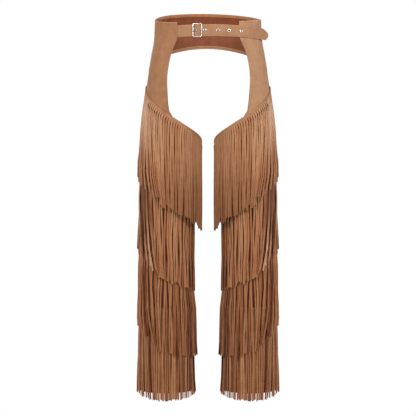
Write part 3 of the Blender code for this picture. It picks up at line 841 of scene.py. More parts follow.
# %% Hip panels
LAP = 6.0  # how far one panel goes on behind its neighbour
LAP_MARKS = (0.0, LAP - 0.6, LAP + 0.6)
LAP_IN = 1.9
TURN_THICK = 2.6
FOLDED = TURN - 0.2  # the second layer reaches this far in from a fold
HIP_GIRTH = 125.0  # about what a hip panel measures for 1 across
PANEL_PAINTED_LIGHT = {"left": 0.7, "right": -0.7}  # painted light on the left half, painted shade on the right half
UNDER_HEADER = 3.0  # the panels' lower edges go on this far behind the fringe's header


def lapped(grid, behind):
    """The grid with its lapped points moved in, behind the neighbouring panel."""
    return moved_out(grid, np.where(behind, -LAP_IN, 0.0))


def hip_panel(side, name):
    front = name == "hip_front"
    places = np.linspace(1.0, OUTSEAM, 60) if front else np.linspace(OUTSEAM + LAP / HIP_GIRTH, -1.0, 100)
    rows = np.linspace(SEAT_EDGE[0].height - UNDER_HEADER, SEAT_EDGE[-1].height, 130)
    # Recut along each column, from the seam up to the waist, then along each row, from front to back.
    grid = turned(recut(turned(dense(hip_point, places, rows)), (), HEM_MARKS, 46))
    grid = recut(grid, HEM_MARKS, (), 22) if front else recut(grid, LAP_MARKS, HEM_MARKS, 56)
    up, across = along_columns(grid), along_rows(grid)
    down, edge = up[-1:] - up, across if front else across[:, -1:] - across
    if side == "right":
        grid, down, edge, across = mirrored(grid), down[:, ::-1], edge[:, ::-1], across[:, ::-1]
    fold = np.minimum(down, edge)
    folded = fold < FOLDED
    if not front:
        grid = lapped(grid, across < LAP)
    grid = worn_in(grid, hip_point, HIP_CREASES[side], side, fold)
    thick, rub_and_sheen = np.where(folded, TURN_THICK, WALL), 0.6 * bells(down, 0.0, 2.2)
    piece = panel_piece(f"{side}_{name}_panel", grid, thick, SUEDE_FINISHES, folded, rub_and_sheen, PANEL_PAINTED_LIGHT[side])
    top = grid.shape[0] - 1 - HEM_STITCH
    column = HEM_STITCH if front == (side == "left") else grid.shape[1] - 1 - HEM_STITCH
    normals = normals_of(grid)
    sew(side, grid, normals, np.s_[top], np.s_[2 : top + 1, column])
    if front:
        sew(side, grid, normals, np.s_[2:top, -3 if side == "left" else 2])
    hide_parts(f"{side}_{name}")
    keep(piece, grid)
    return piece, grid


sheets = []  # what is listed of each cut piece of cloth, for the end
for side in SIDES:
    for name in ("hip_front", "hip_back"):
        sheets.append((*hip_panel(side, name), "hung", ["back_yoke"], [f"{side}_stitching"]))

# %% [markdown]
# ## Back yoke
# One band across the back of the waist, with its ends behind the hip panels. A plane bent by a modifier
# would not follow both the waist and the arched lower edge, so it is a panel cut on the waist's own surface.
# The top and the lower edge are turned in by 8 mm, and there the face shows on the inside, above and below
# the rust-brown reverse. It has the strands' leather there, warmer in dye and paler with painted light.

# %% Back yoke
def back_yoke():
    reach = 1 + LAP / YOKE_REACH
    # Seen from outside, the back's columns run from the left hip to the right hip.
    grid = dense(yoke_point, np.linspace(reach, -reach, 110), np.linspace(0.0, 1.0, 60))
    grid = turned(recut(turned(grid), HEM_MARKS, HEM_MARKS, 18))
    grid = recut(grid, LAP_MARKS, LAP_MARKS, 84)
    up = along_columns(grid)
    rise, fold = up / up[-1:], np.minimum(up, up[-1:] - up)
    folded = fold < FOLDED
    grid = lapped(grid, from_row_ends(grid) < LAP)
    grid = worn_in(grid, yoke_point, YOKE_CREASES, "left", fold)
    # Painted shade darkens the upper part, inside and out, most on the turned top, and painted light pales
    # the turned hem.
    dye = np.where(folded, 0.4 - 2.4 * rise, 0.3 - 1.4 * np.clip((rise - 0.35) / 0.5, 0, 1))
    thick, rub_and_sheen = np.where(folded, TURN_THICK, WALL), 0.7 * bells(fold, 0.0, 2.2)
    finishes = [leather["suede"], leather["suede_reverse"], leather["strand_suede"]]
    piece = panel_piece("back_yoke_panel", grid, thick, finishes, folded, rub_and_sheen, dye)
    normals = normals_of(grid)
    for row in (HEM_STITCH, grid.shape[0] - 1 - HEM_STITCH):
        sew("yoke", grid, normals, row)
        sew("yoke", grid - normals * TURN_THICK, -normals, np.s_[row, ::-1])
    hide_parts("back_yoke", "yoke_top_turn", "yoke_hem_turn")
    keep(piece, grid)
    return piece, grid


sheets.append((*back_yoke(), "hung", ["left_hip_back", "right_hip_back"], ["yoke_stitching"]))

# %% [markdown]
# ## Leg walls
# Under the fringe each leg is a plain tube of suede with its reverse outwards, lapped at the outseam and
# the inseam. It shows at the hem, between the strands and from inside. It is a panel like the others, with
# long shallow waves and no hems, and its top goes behind the hip panel.

# %% Leg walls
LEG_RADIUS = 80.0  # about that of a leg, for turning a lap into an angle
WALL_RISES = np.concatenate((np.linspace(0, 0.93, 60), np.linspace(0.94, 1.0, 9)))
WALL_BEHIND = 5.0  # how far the wall goes on upwards behind a hip panel
WALL_SET = 0.4  # its waves lie this far in, under the fringe


def leg_wall(side, name):
    front = name == "leg_front"
    outseam, lap = seam_angle(OUTSEAM), math.degrees(LAP / LEG_RADIUS)
    angles = np.linspace(180.0, outseam, 60) if front else np.linspace(outseam + lap, -180.0 - lap, 84)
    edge_front, edge_back = seam_angle(1.0), seam_angle(-1.0)

    def wall(angle, rise):
        # The part behind the hip panel fades to the seam at the seat's edges.
        turn = (angle + 180.0) % 360.0 - 180.0
        room = ease(min(edge_front - turn, turn - edge_back) / 12.0)
        top = tier_top("thigh", turn)
        height = mix(LEG_HEM, top + WALL_BEHIND * room, rise)
        return leg_point(angle, height, -(LAP_IN * room * ease((height - (top - 14.0)) / 8.0)))

    grid = dense(wall, angles, WALL_RISES)
    if not front:
        # Both edges of the back wall go behind the front wall's edges.
        grid = lapped(grid, from_row_ends(grid) < LAP)
    if side == "right":
        grid = mirrored(grid)
    x, y, z = grid[..., 0], grid[..., 1], grid[..., 2]
    waves = 0.5 * np.sin(z / 37.0 + x / 21.0) + 0.35 * np.sin(z / 61.0 - y / 17.0)
    grid = moved_out(grid, waves * fade_from_edges(grid, 25.0) - WALL_SET)
    # Its reverse, dark rust-brown, faces out: its own colour, which also stands as painted shade between the
    # strands.
    piece = panel_piece(f"{side}_{name}_wall", grid, WALL, [leather["suede_reverse"]] * 3)
    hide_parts(f"{side}_{name}")
    keep(piece, grid)
    return piece, grid


for side in SIDES:
    for part in ("front", "back"):
        fringe = [f"{side}_{tier}_fringe" for tier in TIERS] if part == "front" else []
        sheets.append((*leg_wall(side, f"leg_{part}"), "hung", [f"{side}_hip_{part}"], fringe))

# %% [markdown]
# ## Fringe
# A strip of suede is sewn round the leg and slit into narrow strands below an uncut header. The strands
# leave the header square to it, bend to hang straight, bunch in clumps that lean on each other like slats,
# and here and there one turns over and shows its rust-brown reverse. Hair curves can't be exported, so each
# strand is a ribbon with six corners and a few dozen faces, and header and strands are one closed mesh.

# %% Sizes of the header and the strands
STRANDS = 86
SHARE = 0.96  # a strand's share of its room along the header
STRAND_THICK = 1.4
END_ROOM = 4.0  # the strands end this far above the tier's full depth, on average
RUNS = (1.0, 4.0, 9.0, 17.0, 30.0, 50.0, 78.0, 110.0, 145.0, 185.0)  # a strand's sections, below the header
ROOT_BEND = 9.0  # how soon a strand that leaves a slanting header hangs straight
UNDER_TIER = 1.3  # room between a strand and the wall
OVER_TIER = 4.2  # and where it lies over the next tier's header
# How far out of the wall, and how far down: from the inside, over the top, to the outside.
HEADER_PROFILE = (
    (0.9, 8.0), (0.5, 4.6), (0.25, 1.2), (0.5, 0.3), (1.1, 0.0),
    (1.9, 0.2), (2.5, 1.1), (2.9, 3.0), (2.7, 5.6), (2.3, 8.0),
)
HEADER_FACE = 5  # the point of the profile where the tan face begins
# A strand's cross-section: across it as a share of its width, and out of it as a share of its thickness. The
# face is domed, because the knife rounds it over, and the cut edges slope.
STRAND_SECTION = ((-0.5, -0.5), (-0.43, 0.2), (-0.2, 0.5), (0.2, 0.5), (0.43, 0.2), (0.5, -0.5))
print(STRANDS, "strands of", len(RUNS) + 1, "sections in each tier")

# %% How each tier hangs
# width: how wide a strand is at most, apart from the hem's zones.
# sizes: how many strands a clump may have. One that is listed twice is drawn more often.
# pull: how far a clump closes up, in strands. parts_at: how far down the clumps part, as a share.
# sway, wavy: how far a strand strays sideways, in one long curve and in small waves.
# depth: how far neighbours in a clump lie one behind the other. tilt: the range of their turns, in radians.
# twisted: the share of strands that turn over. inner_flare: how far the innermost strands swing out.
# longer, short_sides, low_corner: length added in front and behind, taken off at the outer and inner sides,
# and added between the outer side and the front or back. stepped: how unevenly whole clumps end.
# dye, uneven: the mean and the spread of the dye; the mean also holds the tier's painted shade.
Tier = namedtuple(
    "Tier",
    "seed width sizes pull parts_at sway wavy depth tilt twisted inner_flare "
    "longer short_sides low_corner stepped dye uneven",
)
TIER_WAYS = {
    "thigh": Tier(
        seed=11, width=6.0, sizes=(1, 1, 2, 2, 3), pull=0.07, parts_at=0.45, sway=0.9, wavy=0.7, depth=1.0,
        tilt=(0.05, 0.26), twisted=0.02, inner_flare=-1.0,
        longer=0.0, short_sides=0.0, low_corner=9.0, stepped=5.0, dye=-0.7, uneven=0.5,
    ),
    "knee": Tier(
        seed=23, width=5.2, sizes=(1, 1, 2, 2, 3), pull=0.28, parts_at=0.15, sway=2.4, wavy=1.9, depth=1.7,
        tilt=(0.15, 0.50), twisted=0.05, inner_flare=0.0,
        longer=0.0, short_sides=0.0, low_corner=9.0, stepped=2.5, dye=-1.5, uneven=0.8,
    ),
    "shin": Tier(
        seed=37, width=5.2, sizes=(2, 2, 3, 4), pull=0.32, parts_at=0.05, sway=2.8, wavy=1.6, depth=1.7,
        tilt=(0.15, 0.55), twisted=0.05, inner_flare=5.0,
        longer=0.0, short_sides=0.0, low_corner=5.0, stepped=2.5, dye=-2.1, uneven=0.9,
    ),
    "hem": Tier(
        seed=53, width=4.9, sizes=(1, 1, 2, 3), pull=0.24, parts_at=0.05, sway=1.6, wavy=0.8, depth=2.2,
        tilt=(0.10, 0.40), twisted=0.03, inner_flare=0.0,
        longer=0.5, short_sides=6.0, low_corner=0.0, stepped=0.0, dye=-0.9, uneven=1.2,
    ),
}
print("the strands of the", max(TIER_WAYS, key=lambda tier: TIER_WAYS[tier].width), "are the widest")

# %% Clumps and turns of a tier's strands
def half_turn(angle):
    """Degrees from the leg's outer side, 0, to its inner side, 180, by the front or by the back."""
    return angle if angle <= 180.0 else 360.0 - angle


def turned_over(random):
    """The twist of a strand that turns over, to one side or the other."""
    return random.choice([-1, 1]) * random.uniform(0.8, 1.9)


def strand_ways(tier):
    """Draws each strand's clump, lean and twist. Both legs of a pair are cut alike, so they share them."""
    way = TIER_WAYS[tier]
    random, steps = np.random.default_rng(way.seed), np.random.default_rng(way.seed + 1)
    slow, fast, height = random.uniform(0, math.tau, 3)
    ways = []
    while len(ways) < STRANDS:
        size = min(int(random.choice(way.sizes)), STRANDS - len(ways))
        # Clumps close up most next to the outer side.
        outer = bell(half_turn(360.0 * len(ways) / STRANDS), 50, 35)
        pull = way.pull * random.uniform(0.5, 1.3) * (0.8 + (2.0 if tier == "shin" else 0.6) * outer)
        side = random.choice([-1.0, 1.0])
        forward = random.uniform(0.0, 1.6)
        stepped = way.stepped * steps.uniform(-1.0, 1.0)
        for place in range(size):
            turns = random.random() < way.twisted
            round_leg = math.tau * len(ways) / STRANDS
            long_wave = 0.7 * math.sin(6 * round_leg + slow) + 0.5 * math.sin(13 * round_leg + fast)
            lean = side * (-1 if random.random() < 0.25 else 1) * random.uniform(*way.tilt)
            # Neighbours in a clump lie one on the other.
            on_top = (place + (side > 0)) % 2
            draws = {
                "shift": -(place - (size - 1) / 2) * pull,
                "lean": lean,
                "sway": way.sway * long_wave + random.normal(0, 0.5),
                "phase": height + 0.8 * math.sin(4 * round_leg + fast) + random.normal(0, 0.3),
                "waves": random.uniform(5.0, 13.0),
                "in_front": forward / 0.8 - 1.0,
                "forward": forward + way.depth * on_top + random.uniform(0, 0.6),
                "gather": random.uniform(0.72, 1.1),
                "twist": turned_over(random) if turns else random.normal(0, 0.22),
                "twist_at": random.uniform(0.35, 0.85),
                "louvre": random.uniform(0.3, 0.68),
                "length": stepped + float(np.clip(random.normal(0, 3.0), -5.0, 3.5)),
                "cut": random.normal(0, 1.2),
                "dye": way.dye + random.normal(0, way.uneven),
                "worn": random.uniform(0.0, 0.5),
                "pale_strip_at": random.uniform(20.0, 120.0),
            }
            draws["length"] += 1.5 * math.sin(17 * round_leg + slow)
            ways.append(draws)
    return ways


print("the thigh's first strand leans by", round(strand_ways("thigh")[0]["lean"], 2), "radians")

# %% [markdown]
# ## One strand
# A strand is a row of cross-sections, from its root at the header to its cut end. Each is placed by how far
# it has strayed sideways, how far it has turned and how far it stands out from the leg. An array of one
# model would hang too evenly, so all three depend on the strand's draws and on where it hangs. `half` is
# where it hangs, as an angle from the leg's outer side, 0, to its inner side, 180, by the front or the back.
# A `bell` of `half` picks out a zone round the leg.

# %% Length and drift of a strand
LEAN_AWAY = 34.0  # how far the ends of strands next to the outer side lean away from it
STAND_OUT = 6.0  # and stand out
SWING_IN = 12.0  # how far the hem's outermost ends swing in
# inward: 1 in front and -1 behind, the way along the header that leads to the leg's inner side.
Strand = namedtuple("Strand", "tier draws half inward slope pitch length loose leaning")


def new_strand(tier, draws, angle, slope, pitch):
    """A strand with its length, how loosely it hangs and how far it leans, by where it is round the leg."""
    half, way, in_front = half_turn(angle), TIER_WAYS[tier], angle <= 180.0
    at_sides = min(1.0, bell(half, 0, 34) + bell(half, 180, 34))
    even = 0.8 * bell(half, 180, 20) if tier != "hem" else 0.55
    length = TIER_LENGTH - END_ROOM + draws["length"] * (1 - even) - HEADER
    length += way.longer * (1 - at_sides) + way.low_corner * bell(half, 57, 24)
    length -= way.short_sides * at_sides
    # At both sides of the leg they hang close, and next to the outer side they lean away from it.
    loose = 1 - 0.9 * min(1.0, bell(half, 0, 28) + bell(half, 180, 20))
    leaning = bell(half, 44.0, 26.0) * (0.3 if tier == "hem" else 1.0) * (1.0 if in_front else 0.7)
    return Strand(tier, draws, half, 1.0 if in_front else -1.0, slope, pitch, length, loose, leaning)


def free_at(run):
    """How freely a strand hangs, that far below the header."""
    return ease(run / 45.0)


def bend_at(run):
    """How far it has bent from square to the header to straight down."""
    return 1 - math.exp(-run / ROOT_BEND)


def parted_at(strand, run):
    """How far its clump has parted from the next."""
    parts_at = TIER_WAYS[strand.tier].parts_at
    return ease((run / strand.length - parts_at * 0.5) / (0.3 + parts_at))


def drift(strand, run):
    """How far along the header a strand strays from its root."""
    tier, draws, half, share = strand.tier, strand.draws, strand.half, run / strand.length
    bunched, even_ends = mix(0.4, 1.0, strand.loose), 0.0
    if tier == "thigh":  # the lower inner strands part into clumps
        bunched += 6.5 * ease((half - 70.0) / 45.0) * ease((share - 0.42) / 0.45)
    if tier == "hem":  # the ends hang side by side in front, and in clumps towards the outer side
        bunched += 1.3 * bell(half, 40, 24) * ease((share - 0.2) / 0.6)
        even_ends = 0.85 * bell(half, 106, 36) * ease((share - 0.55) / 0.35)
    stray = draws["shift"] * strand.pitch * parted_at(strand, run) * bunched
    stray += draws["sway"] * share**1.4 * math.sin(draws["phase"] + 2.6 * share)
    stray += TIER_WAYS[tier].wavy * free_at(run) * math.sin(draws["phase"] * 3 + draws["waves"] * share)
    square = strand.slope / math.hypot(1.0, strand.slope) * ROOT_BEND * bend_at(run)
    lean = strand.inward * LEAN_AWAY * strand.leaning * draws["gather"] * share**2.6
    shift = square + stray * (1 - even_ends) + lean
    if tier == "hem":
        shift += strand.inward * SWING_IN * bell(half, 16, 22) * share**6
    return shift


first = new_strand("thigh", strand_ways("thigh")[0], angle=2.0, slope=0.0, pitch=7.0)
print(f"a thigh's strand: {first.length:.0f} mm long, its end {drift(first, first.length):.1f} mm astray")

# %% Turn and shade of a strand
def turn_of(strand, run):
    """A strand's turn about its own length, in radians."""
    draws, half, share, free = strand.draws, strand.half, run / strand.length, free_at(run)
    # Below a slanting header the strands lie like the slats of a shutter.
    slatted = (0.35 + 0.65 * ease(abs(strand.slope) / 0.4)) * (1 - 0.85 * bell(half, 0, 34))
    if strand.tier != "thigh":
        slatted *= 1 - 0.6 * ease((half - 100.0) / 30.0)
    turn = draws["lean"] * ease((run - 12.0) / 30.0) * (0.35 + 0.65 * parted_at(strand, run))
    turn -= math.copysign(draws["louvre"], strand.slope) * slatted * bell(run, 10.0, 8.0)
    if strand.tier == "thigh":  # inside the thighs they lie over each other
        turn += strand.inward * 0.55 * bell(half, 163, 15) * free
    if abs(draws["twist"]) > 0.7:
        return turn + draws["twist"] * ease((share - draws["twist_at"] + 0.2) / 0.4) * free
    return turn + draws["twist"] * free * math.sin(4.0 * share + draws["phase"])


def shade_of(strand, run):
    """A strand's dye with painted light and shade, its wear with painted sheen, and its painted shade."""
    tier, draws, half, share = strand.tier, strand.draws, strand.half, run / strand.length
    # The strands darken towards their ends.
    dye, worn, dirt = draws["dye"] - 0.7 * ease((share - 0.4) / 0.6), draws["worn"], 0.0
    if tier == "thigh":
        # Painted light pales the upper strands next to the side of the thigh, less so towards its inside.
        inner, lower = ease((half - 50.0) / 60.0), ease((share - 0.2) / 0.6)
        dye += 2.4 * bell(half, 25, 40) * (1 - ease((share - 0.25) / 0.5))
        # Painted shade darkens the lower strands towards the inside, and a line at the outer side.
        dye -= 0.6 * inner * lower + 1.8 * bell(half, 0, 16)
        # Painted shade greys the strands towards the inside, most at their lower part.
        dirt = inner * mix(0.06, 0.22, lower)
        # A pale strip of wear and painted sheen runs down next to the outer side.
        worn += 1.6 * bell(half, 29, 9) * bell(run, draws["pale_strip_at"], 45.0)
        return dye, worn, dirt
    # Towards the outer side, painted shade darkens clumps that hang further back, and painted light pales
    # those further out.
    dye += 2.6 * draws["in_front"] * bell(half, 20, 38) * (0.5 if tier == "knee" else 1.0)
    # Next to the outer side, painted shadow darkens the knee's strands where the tier above covers them,
    # and painted light pales them below it and right at the side.
    zone = ease((half - 18.0) / 16.0) * (1 - ease((half - 48.0) / 18.0))
    zone *= 1.0 if strand.inward > 0 else 0.5
    if tier == "knee":
        low_end = ease((run - 115.0) / 45.0)
        dye += zone * mix(-0.4, 2.2, low_end) + 2.8 * bell(half, 10, 18)
        dirt = zone * (1 - low_end) * 0.36
    elif tier == "shin":
        # There the shin's strands are paler with painted light.
        dye += zone * 0.6
    return dye, worn, dirt


print("its end turns by", round(turn_of(first, first.length), 2), "radians")

# %% Sections of a strand
BELOW = dict(zip(TIERS, TIERS[1:]))


def spread_of(strand, width, run):
    """How wide a strand is, that far below the header."""
    spread = mix(width, min(width, TIER_WAYS[strand.tier].width), bend_at(run))
    if strand.tier == "shin":
        spread *= 1 - 0.2 * free_at(run) * bell(strand.half, 45, 22)
    elif strand.tier == "hem":  # edge to edge down the front, and further apart towards both sides
        spread *= mix(1.0, mix(0.84, 1.27, bell(strand.half, 104, 34)), bend_at(run))
    return spread


def strand_sections(tier, draws, edges, slope, pitch):
    """A strand's sections from its root to its cut end, each with its corners, dye and painted light, wear
    and painted sheen, and painted shade.
    """
    angle = sum(edges) / 2
    top = tier_top(tier, angle) - SEAM
    strand = new_strand(tier, draws, angle, slope, pitch)
    root = leg_point(angle, top - HEADER)
    away = (leg_point(angle, root.z, 1.0) - root).normalized()
    beside = Vector((-away.y, away.x, 0.0))
    if (leg_point(angle + 1.0, root.z) - root).dot(beside) < 0:
        beside = -beside
    width = pitch * math.hypot(1.0, slope) * SHARE
    flare = TIER_WAYS[tier].inner_flare * bell(strand.half, 180, 26)
    sections, pushed = [], 0.0
    for run in (*RUNS, strand.length):
        share, height = run / strand.length, top - HEADER - run
        turn = turn_of(strand, run)
        # It lies on the wall, then over the next tier's header, and never nearer to the leg than higher up.
        over = ease((tier_top(BELOW[tier], angle) + 26.0 - height) / 44.0) if tier in BELOW else 0.0
        gap = mix(0.9, mix(UNDER_TIER, OVER_TIER, over), ease(run / 16.0))
        reach = gap + STRAND_THICK / 2 + abs(math.sin(turn)) * width / 2
        forward = draws["forward"] * parted_at(strand, run)
        forward += STAND_OUT * strand.leaning * draws["gather"] * share**1.5
        forward = mix(1.6, forward, strand.loose)
        wall = leg_point(angle, height, reach + forward * ease((run - 25.0) / 60.0))
        pushed = max(pushed, (wall - root).dot(away))
        out = pushed + flare * share**2.2 + 0.5 * math.sin(draws["phase"] + 5.0 * share) * free_at(run)
        centre = Vector((root.x, root.y, height)) + away * out + beside * drift(strand, run)
        # The section turns from the header's slope to level, and about the strand's own length.
        flat = (beside + Vector((0, 0, 1.0)) * slope * (1 - bend_at(run))).normalized()
        across = flat * math.cos(turn) + away * math.sin(turn)
        forth = away * math.cos(turn) - flat * math.sin(turn)
        spread = spread_of(strand, width, run)
        slant = draws["cut"] + slope * 1.4 if run == strand.length else 0.0
        corners = []
        for side, depth in STRAND_SECTION:
            corner = centre + across * side * spread + forth * depth * STRAND_THICK
            corners.append(corner + Vector((0, 0, math.copysign(1.0, side) * slant)))
        sections.append((corners, *shade_of(strand, run)))
    return sections


print("tiers that hang over the next:", ", ".join(BELOW))

# %% Header
def header_line(tier, steps=1440):
    """Fine angles round the header, and the distance round to each."""
    angles = np.linspace(0.0, 360.0, steps + 1)
    points = np.array([leg_point(a, tier_top(tier, a)) for a in angles])
    return angles, lengths_along(points * (1.0, 1.0, 0.0))


def header_mesh(tier, around):
    """The header's points at the angles round the leg, their painted shadow, its faces and their finishes.
    """
    points, dye, faces, which = [], [], [], []
    for number, angle in enumerate(around):
        top = tier_top(tier, angle) - SEAM
        pucker = 0.25 * math.sin(number * 2.1) + 0.2 * math.sin(number * 0.83)
        # Painted shadow of the tier above darkens the header, less so inside the leg.
        covered_shadow = 0.0 if tier == "thigh" else -1.2 + 0.8 * ease((half_turn(angle) - 100.0) / 30.0)
        for out, drop in HEADER_PROFILE:
            full = max(0.0, math.sin(math.pi * drop / HEADER)) if out > 2.0 else 0.0
            points.append(leg_point(angle, top - drop, out + pucker * full))
            dye.append(covered_shadow)
    rows = len(HEADER_PROFILE)
    for number in range(len(around)):
        one, other = number * rows, (number + 1) % len(around) * rows
        for row in range(rows - 1):
            faces.append((one + row, one + row + 1, other + row + 1, other + row))
            which.append(1 if row < HEADER_FACE else 2)
        if number % 2:  # its cut lower edge between two strands
            faces.append((one + rows - 1, one, other, other + rows - 1))
            which.append(1)
    return points, dye, faces, which


print("round the thigh's header:", round(header_line("thigh")[1][-1]), "mm")

# %% Header and strands in one mesh
def fringe_tier(side, tier):
    angles, lengths = header_line(tier)
    pitch = lengths[-1] / STRANDS
    starts = np.arange(STRANDS) * pitch
    edges = [np.interp(starts + offset, lengths, angles) for offset in (0.0, pitch * SHARE)]
    edges = np.stack(edges, axis=1)
    points, dye, faces, which = header_mesh(tier, edges.ravel())
    rub_and_sheen, dirt = [0.0] * len(points), [0.0] * len(points)
    rows, corners_round = len(HEADER_PROFILE), len(STRAND_SECTION)
    for number, draws in enumerate(strand_ways(tier)):
        low, high = edges[number]
        slope = (tier_top(tier, high) - tier_top(tier, low)) / (pitch * SHARE)
        left, right = 2 * number * rows, (2 * number + 1) * rows
        out_left, out_right = left + rows - 1, right + rows - 1
        ring = (left, out_left, out_left, out_right, out_right, right)
        for corners, shade, worn, painted_dark in strand_sections(tier, draws, (low, high), slope, pitch):
            new_ring = tuple(range(len(points), len(points) + corners_round))
            points += corners
            dye += [shade] * corners_round
            rub_and_sheen += [0.0, worn, worn, worn, worn, 0.0]
            dirt += [painted_dark] * corners_round
            for corner in range(corners_round):
                after = (corner + 1) % corners_round
                face = (ring[corner], new_ring[corner], new_ring[after], ring[after])
                faces.append(face if ring[corner] != ring[after] else face[:3])
                # The face is tan, and the cut edges and the back are rust-brown.
                which.append(0 if 1 <= corner <= 3 else 1)
            ring = new_ring
        faces.append(ring)
        which.append(1)
    points = np.array([tuple(p) for p in points])
    if side == "right":
        points = points * (-1.0, 1.0, 1.0)
    else:
        faces = [tuple(reversed(face)) for face in faces]
    finishes = [leather["strand_suede"], leather["strand_reverse"], leather["suede"]]
    marks = {"dye": dye, "rub_and_sheen": rub_and_sheen, "dirt": dirt}
    piece = new_piece(f"{side}_{tier}_fringe", points, faces, finishes, which, marks, soft_angle=42.0)
    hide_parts(f"{side}_fringe_{tier}")
    keep(piece)


for side in SIDES:
    for tier in TIERS:
        fringe_tier(side, tier)

# %% [markdown]
# ## Waist strap
# A strip of thick suede, its edges pressed thin and stitched, with a blunt point. It is sewn behind the
# right hip panel, rises over the buckle's bar and lies over the left hip panel to its free end. The strap
# follows the waist's line, so its cross-section is carried along it in mesh code, and the holes are punched
# with a Boolean, as the maker punches them.

# %% Sizes of the strap and the buckle
STRAP_HALF = 14.7  # half its height
STRAP_THICK = 2.4
STRAP_START = -100.0  # places along the waist run from the middle of the front to the wearer's left
STRAP_LEAVES = 139.0  # from here to its end the strap runs straight on
STRAP_END = 192.0
TIP_END = STRAP_END - 1.5
TAB_START = 102.0
BUCKLE_AT = -27.0
BUCKLE_HALF = 11.0  # half the frame's width
RAIL = 16.5  # half its height
WIRE, BAR, PRONG = 1.45, 1.2, 0.9  # radius of the frame's wire, of its bar and of the prong
FRAME_OUT = 3.1  # how far out from the waist's line the frame and the bar lie
BAR_OUT = -2.0
CREST = 2.9  # and the strap, over the bar
FRAME_CORNER = 3.0
EYELET_PLACES = (-30.8, -8.3, 25.6, 54.5, 86.5)  # the prong goes through the first
EYELETS = len(EYELET_PLACES)
EYELET_HOLE = 2.65
EYELET_FLAT = 5.2  # an eyelet lies as the strap does over this much to each side

# Along the waist, how far out of its line, and how far the upper edge leans in.
StrapRow = namedtuple("StrapRow", "along out lean")
STRAP_ROWS = (
    StrapRow(-110, -3.5, 1.8),
    StrapRow(-82, -3.5, 1.8),
    StrapRow(-58, 0.0, 0.5),
    StrapRow(-36.5, 0.0, 0.0),
    StrapRow(-31, 2.4, 0.0),
    StrapRow(-27, CREST, 0.0),
    StrapRow(-23, 2.4, 0.0),
    StrapRow(-17.5, 0.0, 0.0),
    StrapRow(52, 0.0, 0.6),
    StrapRow(78, 2.3, 1.5),
    StrapRow(205, 2.3, 1.0),
)
TAB_ROWS = (
    StrapRow(-30, -3.8, 0.0),
    StrapRow(52, -3.8, 0.6),
    StrapRow(78, -2.1, 1.8),
    StrapRow(110, -2.1, 1.8),
)
print("strap:", STRAP_END - STRAP_START, "mm long and", 2 * STRAP_HALF, "mm tall, with", EYELETS, "eyelets")

# %% The waist's line
def waist_line(steps=900):
    half_width, half_depth = read(HIP_RINGS, "half_width", 0.0), read(HIP_RINGS, "half_depth", 0.0)
    turns = np.radians(np.linspace(0, 90, steps + 1))
    points = np.stack([half_width * np.sin(turns), -half_depth * np.cos(turns), turns * 0], axis=1)
    return points, lengths_along(points)


WAIST_LINE = waist_line()


def waist_place(along, out=0.0):
    """Point on the waist's line, its direction and its outward normal. The strap's end runs straight on."""
    points, lengths = WAIST_LINE
    reach = min(abs(along), STRAP_LEAVES)
    n = min(int(np.searchsorted(lengths, reach, "left")), len(lengths) - 1)
    n = max(n - 1, 0)
    share = (reach - lengths[n]) / (lengths[n + 1] - lengths[n])
    point = Vector(mix(points[n], points[n + 1], share))
    direction = Vector(points[n + 1] - points[n]).normalized()
    if along < 0:
        point.x, direction.y = -point.x, -direction.y
    point = point + direction * max(0.0, along - STRAP_LEAVES)
    normal = Vector((direction.y, -direction.x, 0.0))
    return point + normal * out, direction, normal


def axes_at(origin, x, y, z):
    """A place from its origin in millimetres and its three axes."""
    return Matrix.Translation(origin * MM) @ Matrix((x, y, z)).transposed().to_4x4()


print("from the middle of the front to the side:", round(WAIST_LINE[1][-1]), "mm")

# %% Strap
# Lines of the mesh, in from an edge, and the one of them that the stitches follow.
STRAP_MARKS = (0.0, 0.5, 1.2, 1.9, 2.6, 3.4, 4.6, 7.5, 11.0, STRAP_HALF)
STRAP_STITCH = 4
# The tip's stations, back from its end.
TIP_STEPS = (22.0, 20.0, 18.0, 16.0, 14.0, 12.0, 10.0, 8.0, 6.5, 5.0, 4.0, 3.0, 2.2, 1.4, 0.7, 0.2, 0.0)


def strap_half_height(along, side):
    """Half the strap's height above (1) or below (-1) its middle. The tip's upper corner is cut longer."""
    left, cut = TIP_END - along, 18.0 + 4.0 * side
    return mix(2.5, STRAP_HALF, min(1.0, max(0.0, left) / cut) ** 0.62)


def strap_point(along, rise):
    """Point on the strap's face, with rise from -1 at its lower edge to 1 at its upper edge."""
    half = strap_half_height(along, 1 if rise >= 0 else -1)
    lean = read(STRAP_ROWS, "lean", along) * half / STRAP_HALF
    out = read(STRAP_ROWS, "out", along) + STRAP_THICK / 2
    height = rise * half + 0.25 * math.sin(along / 23.0)
    return waist_place(along, out - rise * lean)[0] + Vector((0, 0, height))


def strap_stations():
    """Places along the strap: coarse steps, with fine ones over the buckle and round the tip."""
    coarse, fine = np.arange(STRAP_START, STRAP_END - 24.0, 2.0), np.arange(-44.0, -10.0, 1.0)
    return np.unique(np.concatenate((coarse, fine, TIP_END - np.array(TIP_STEPS))))


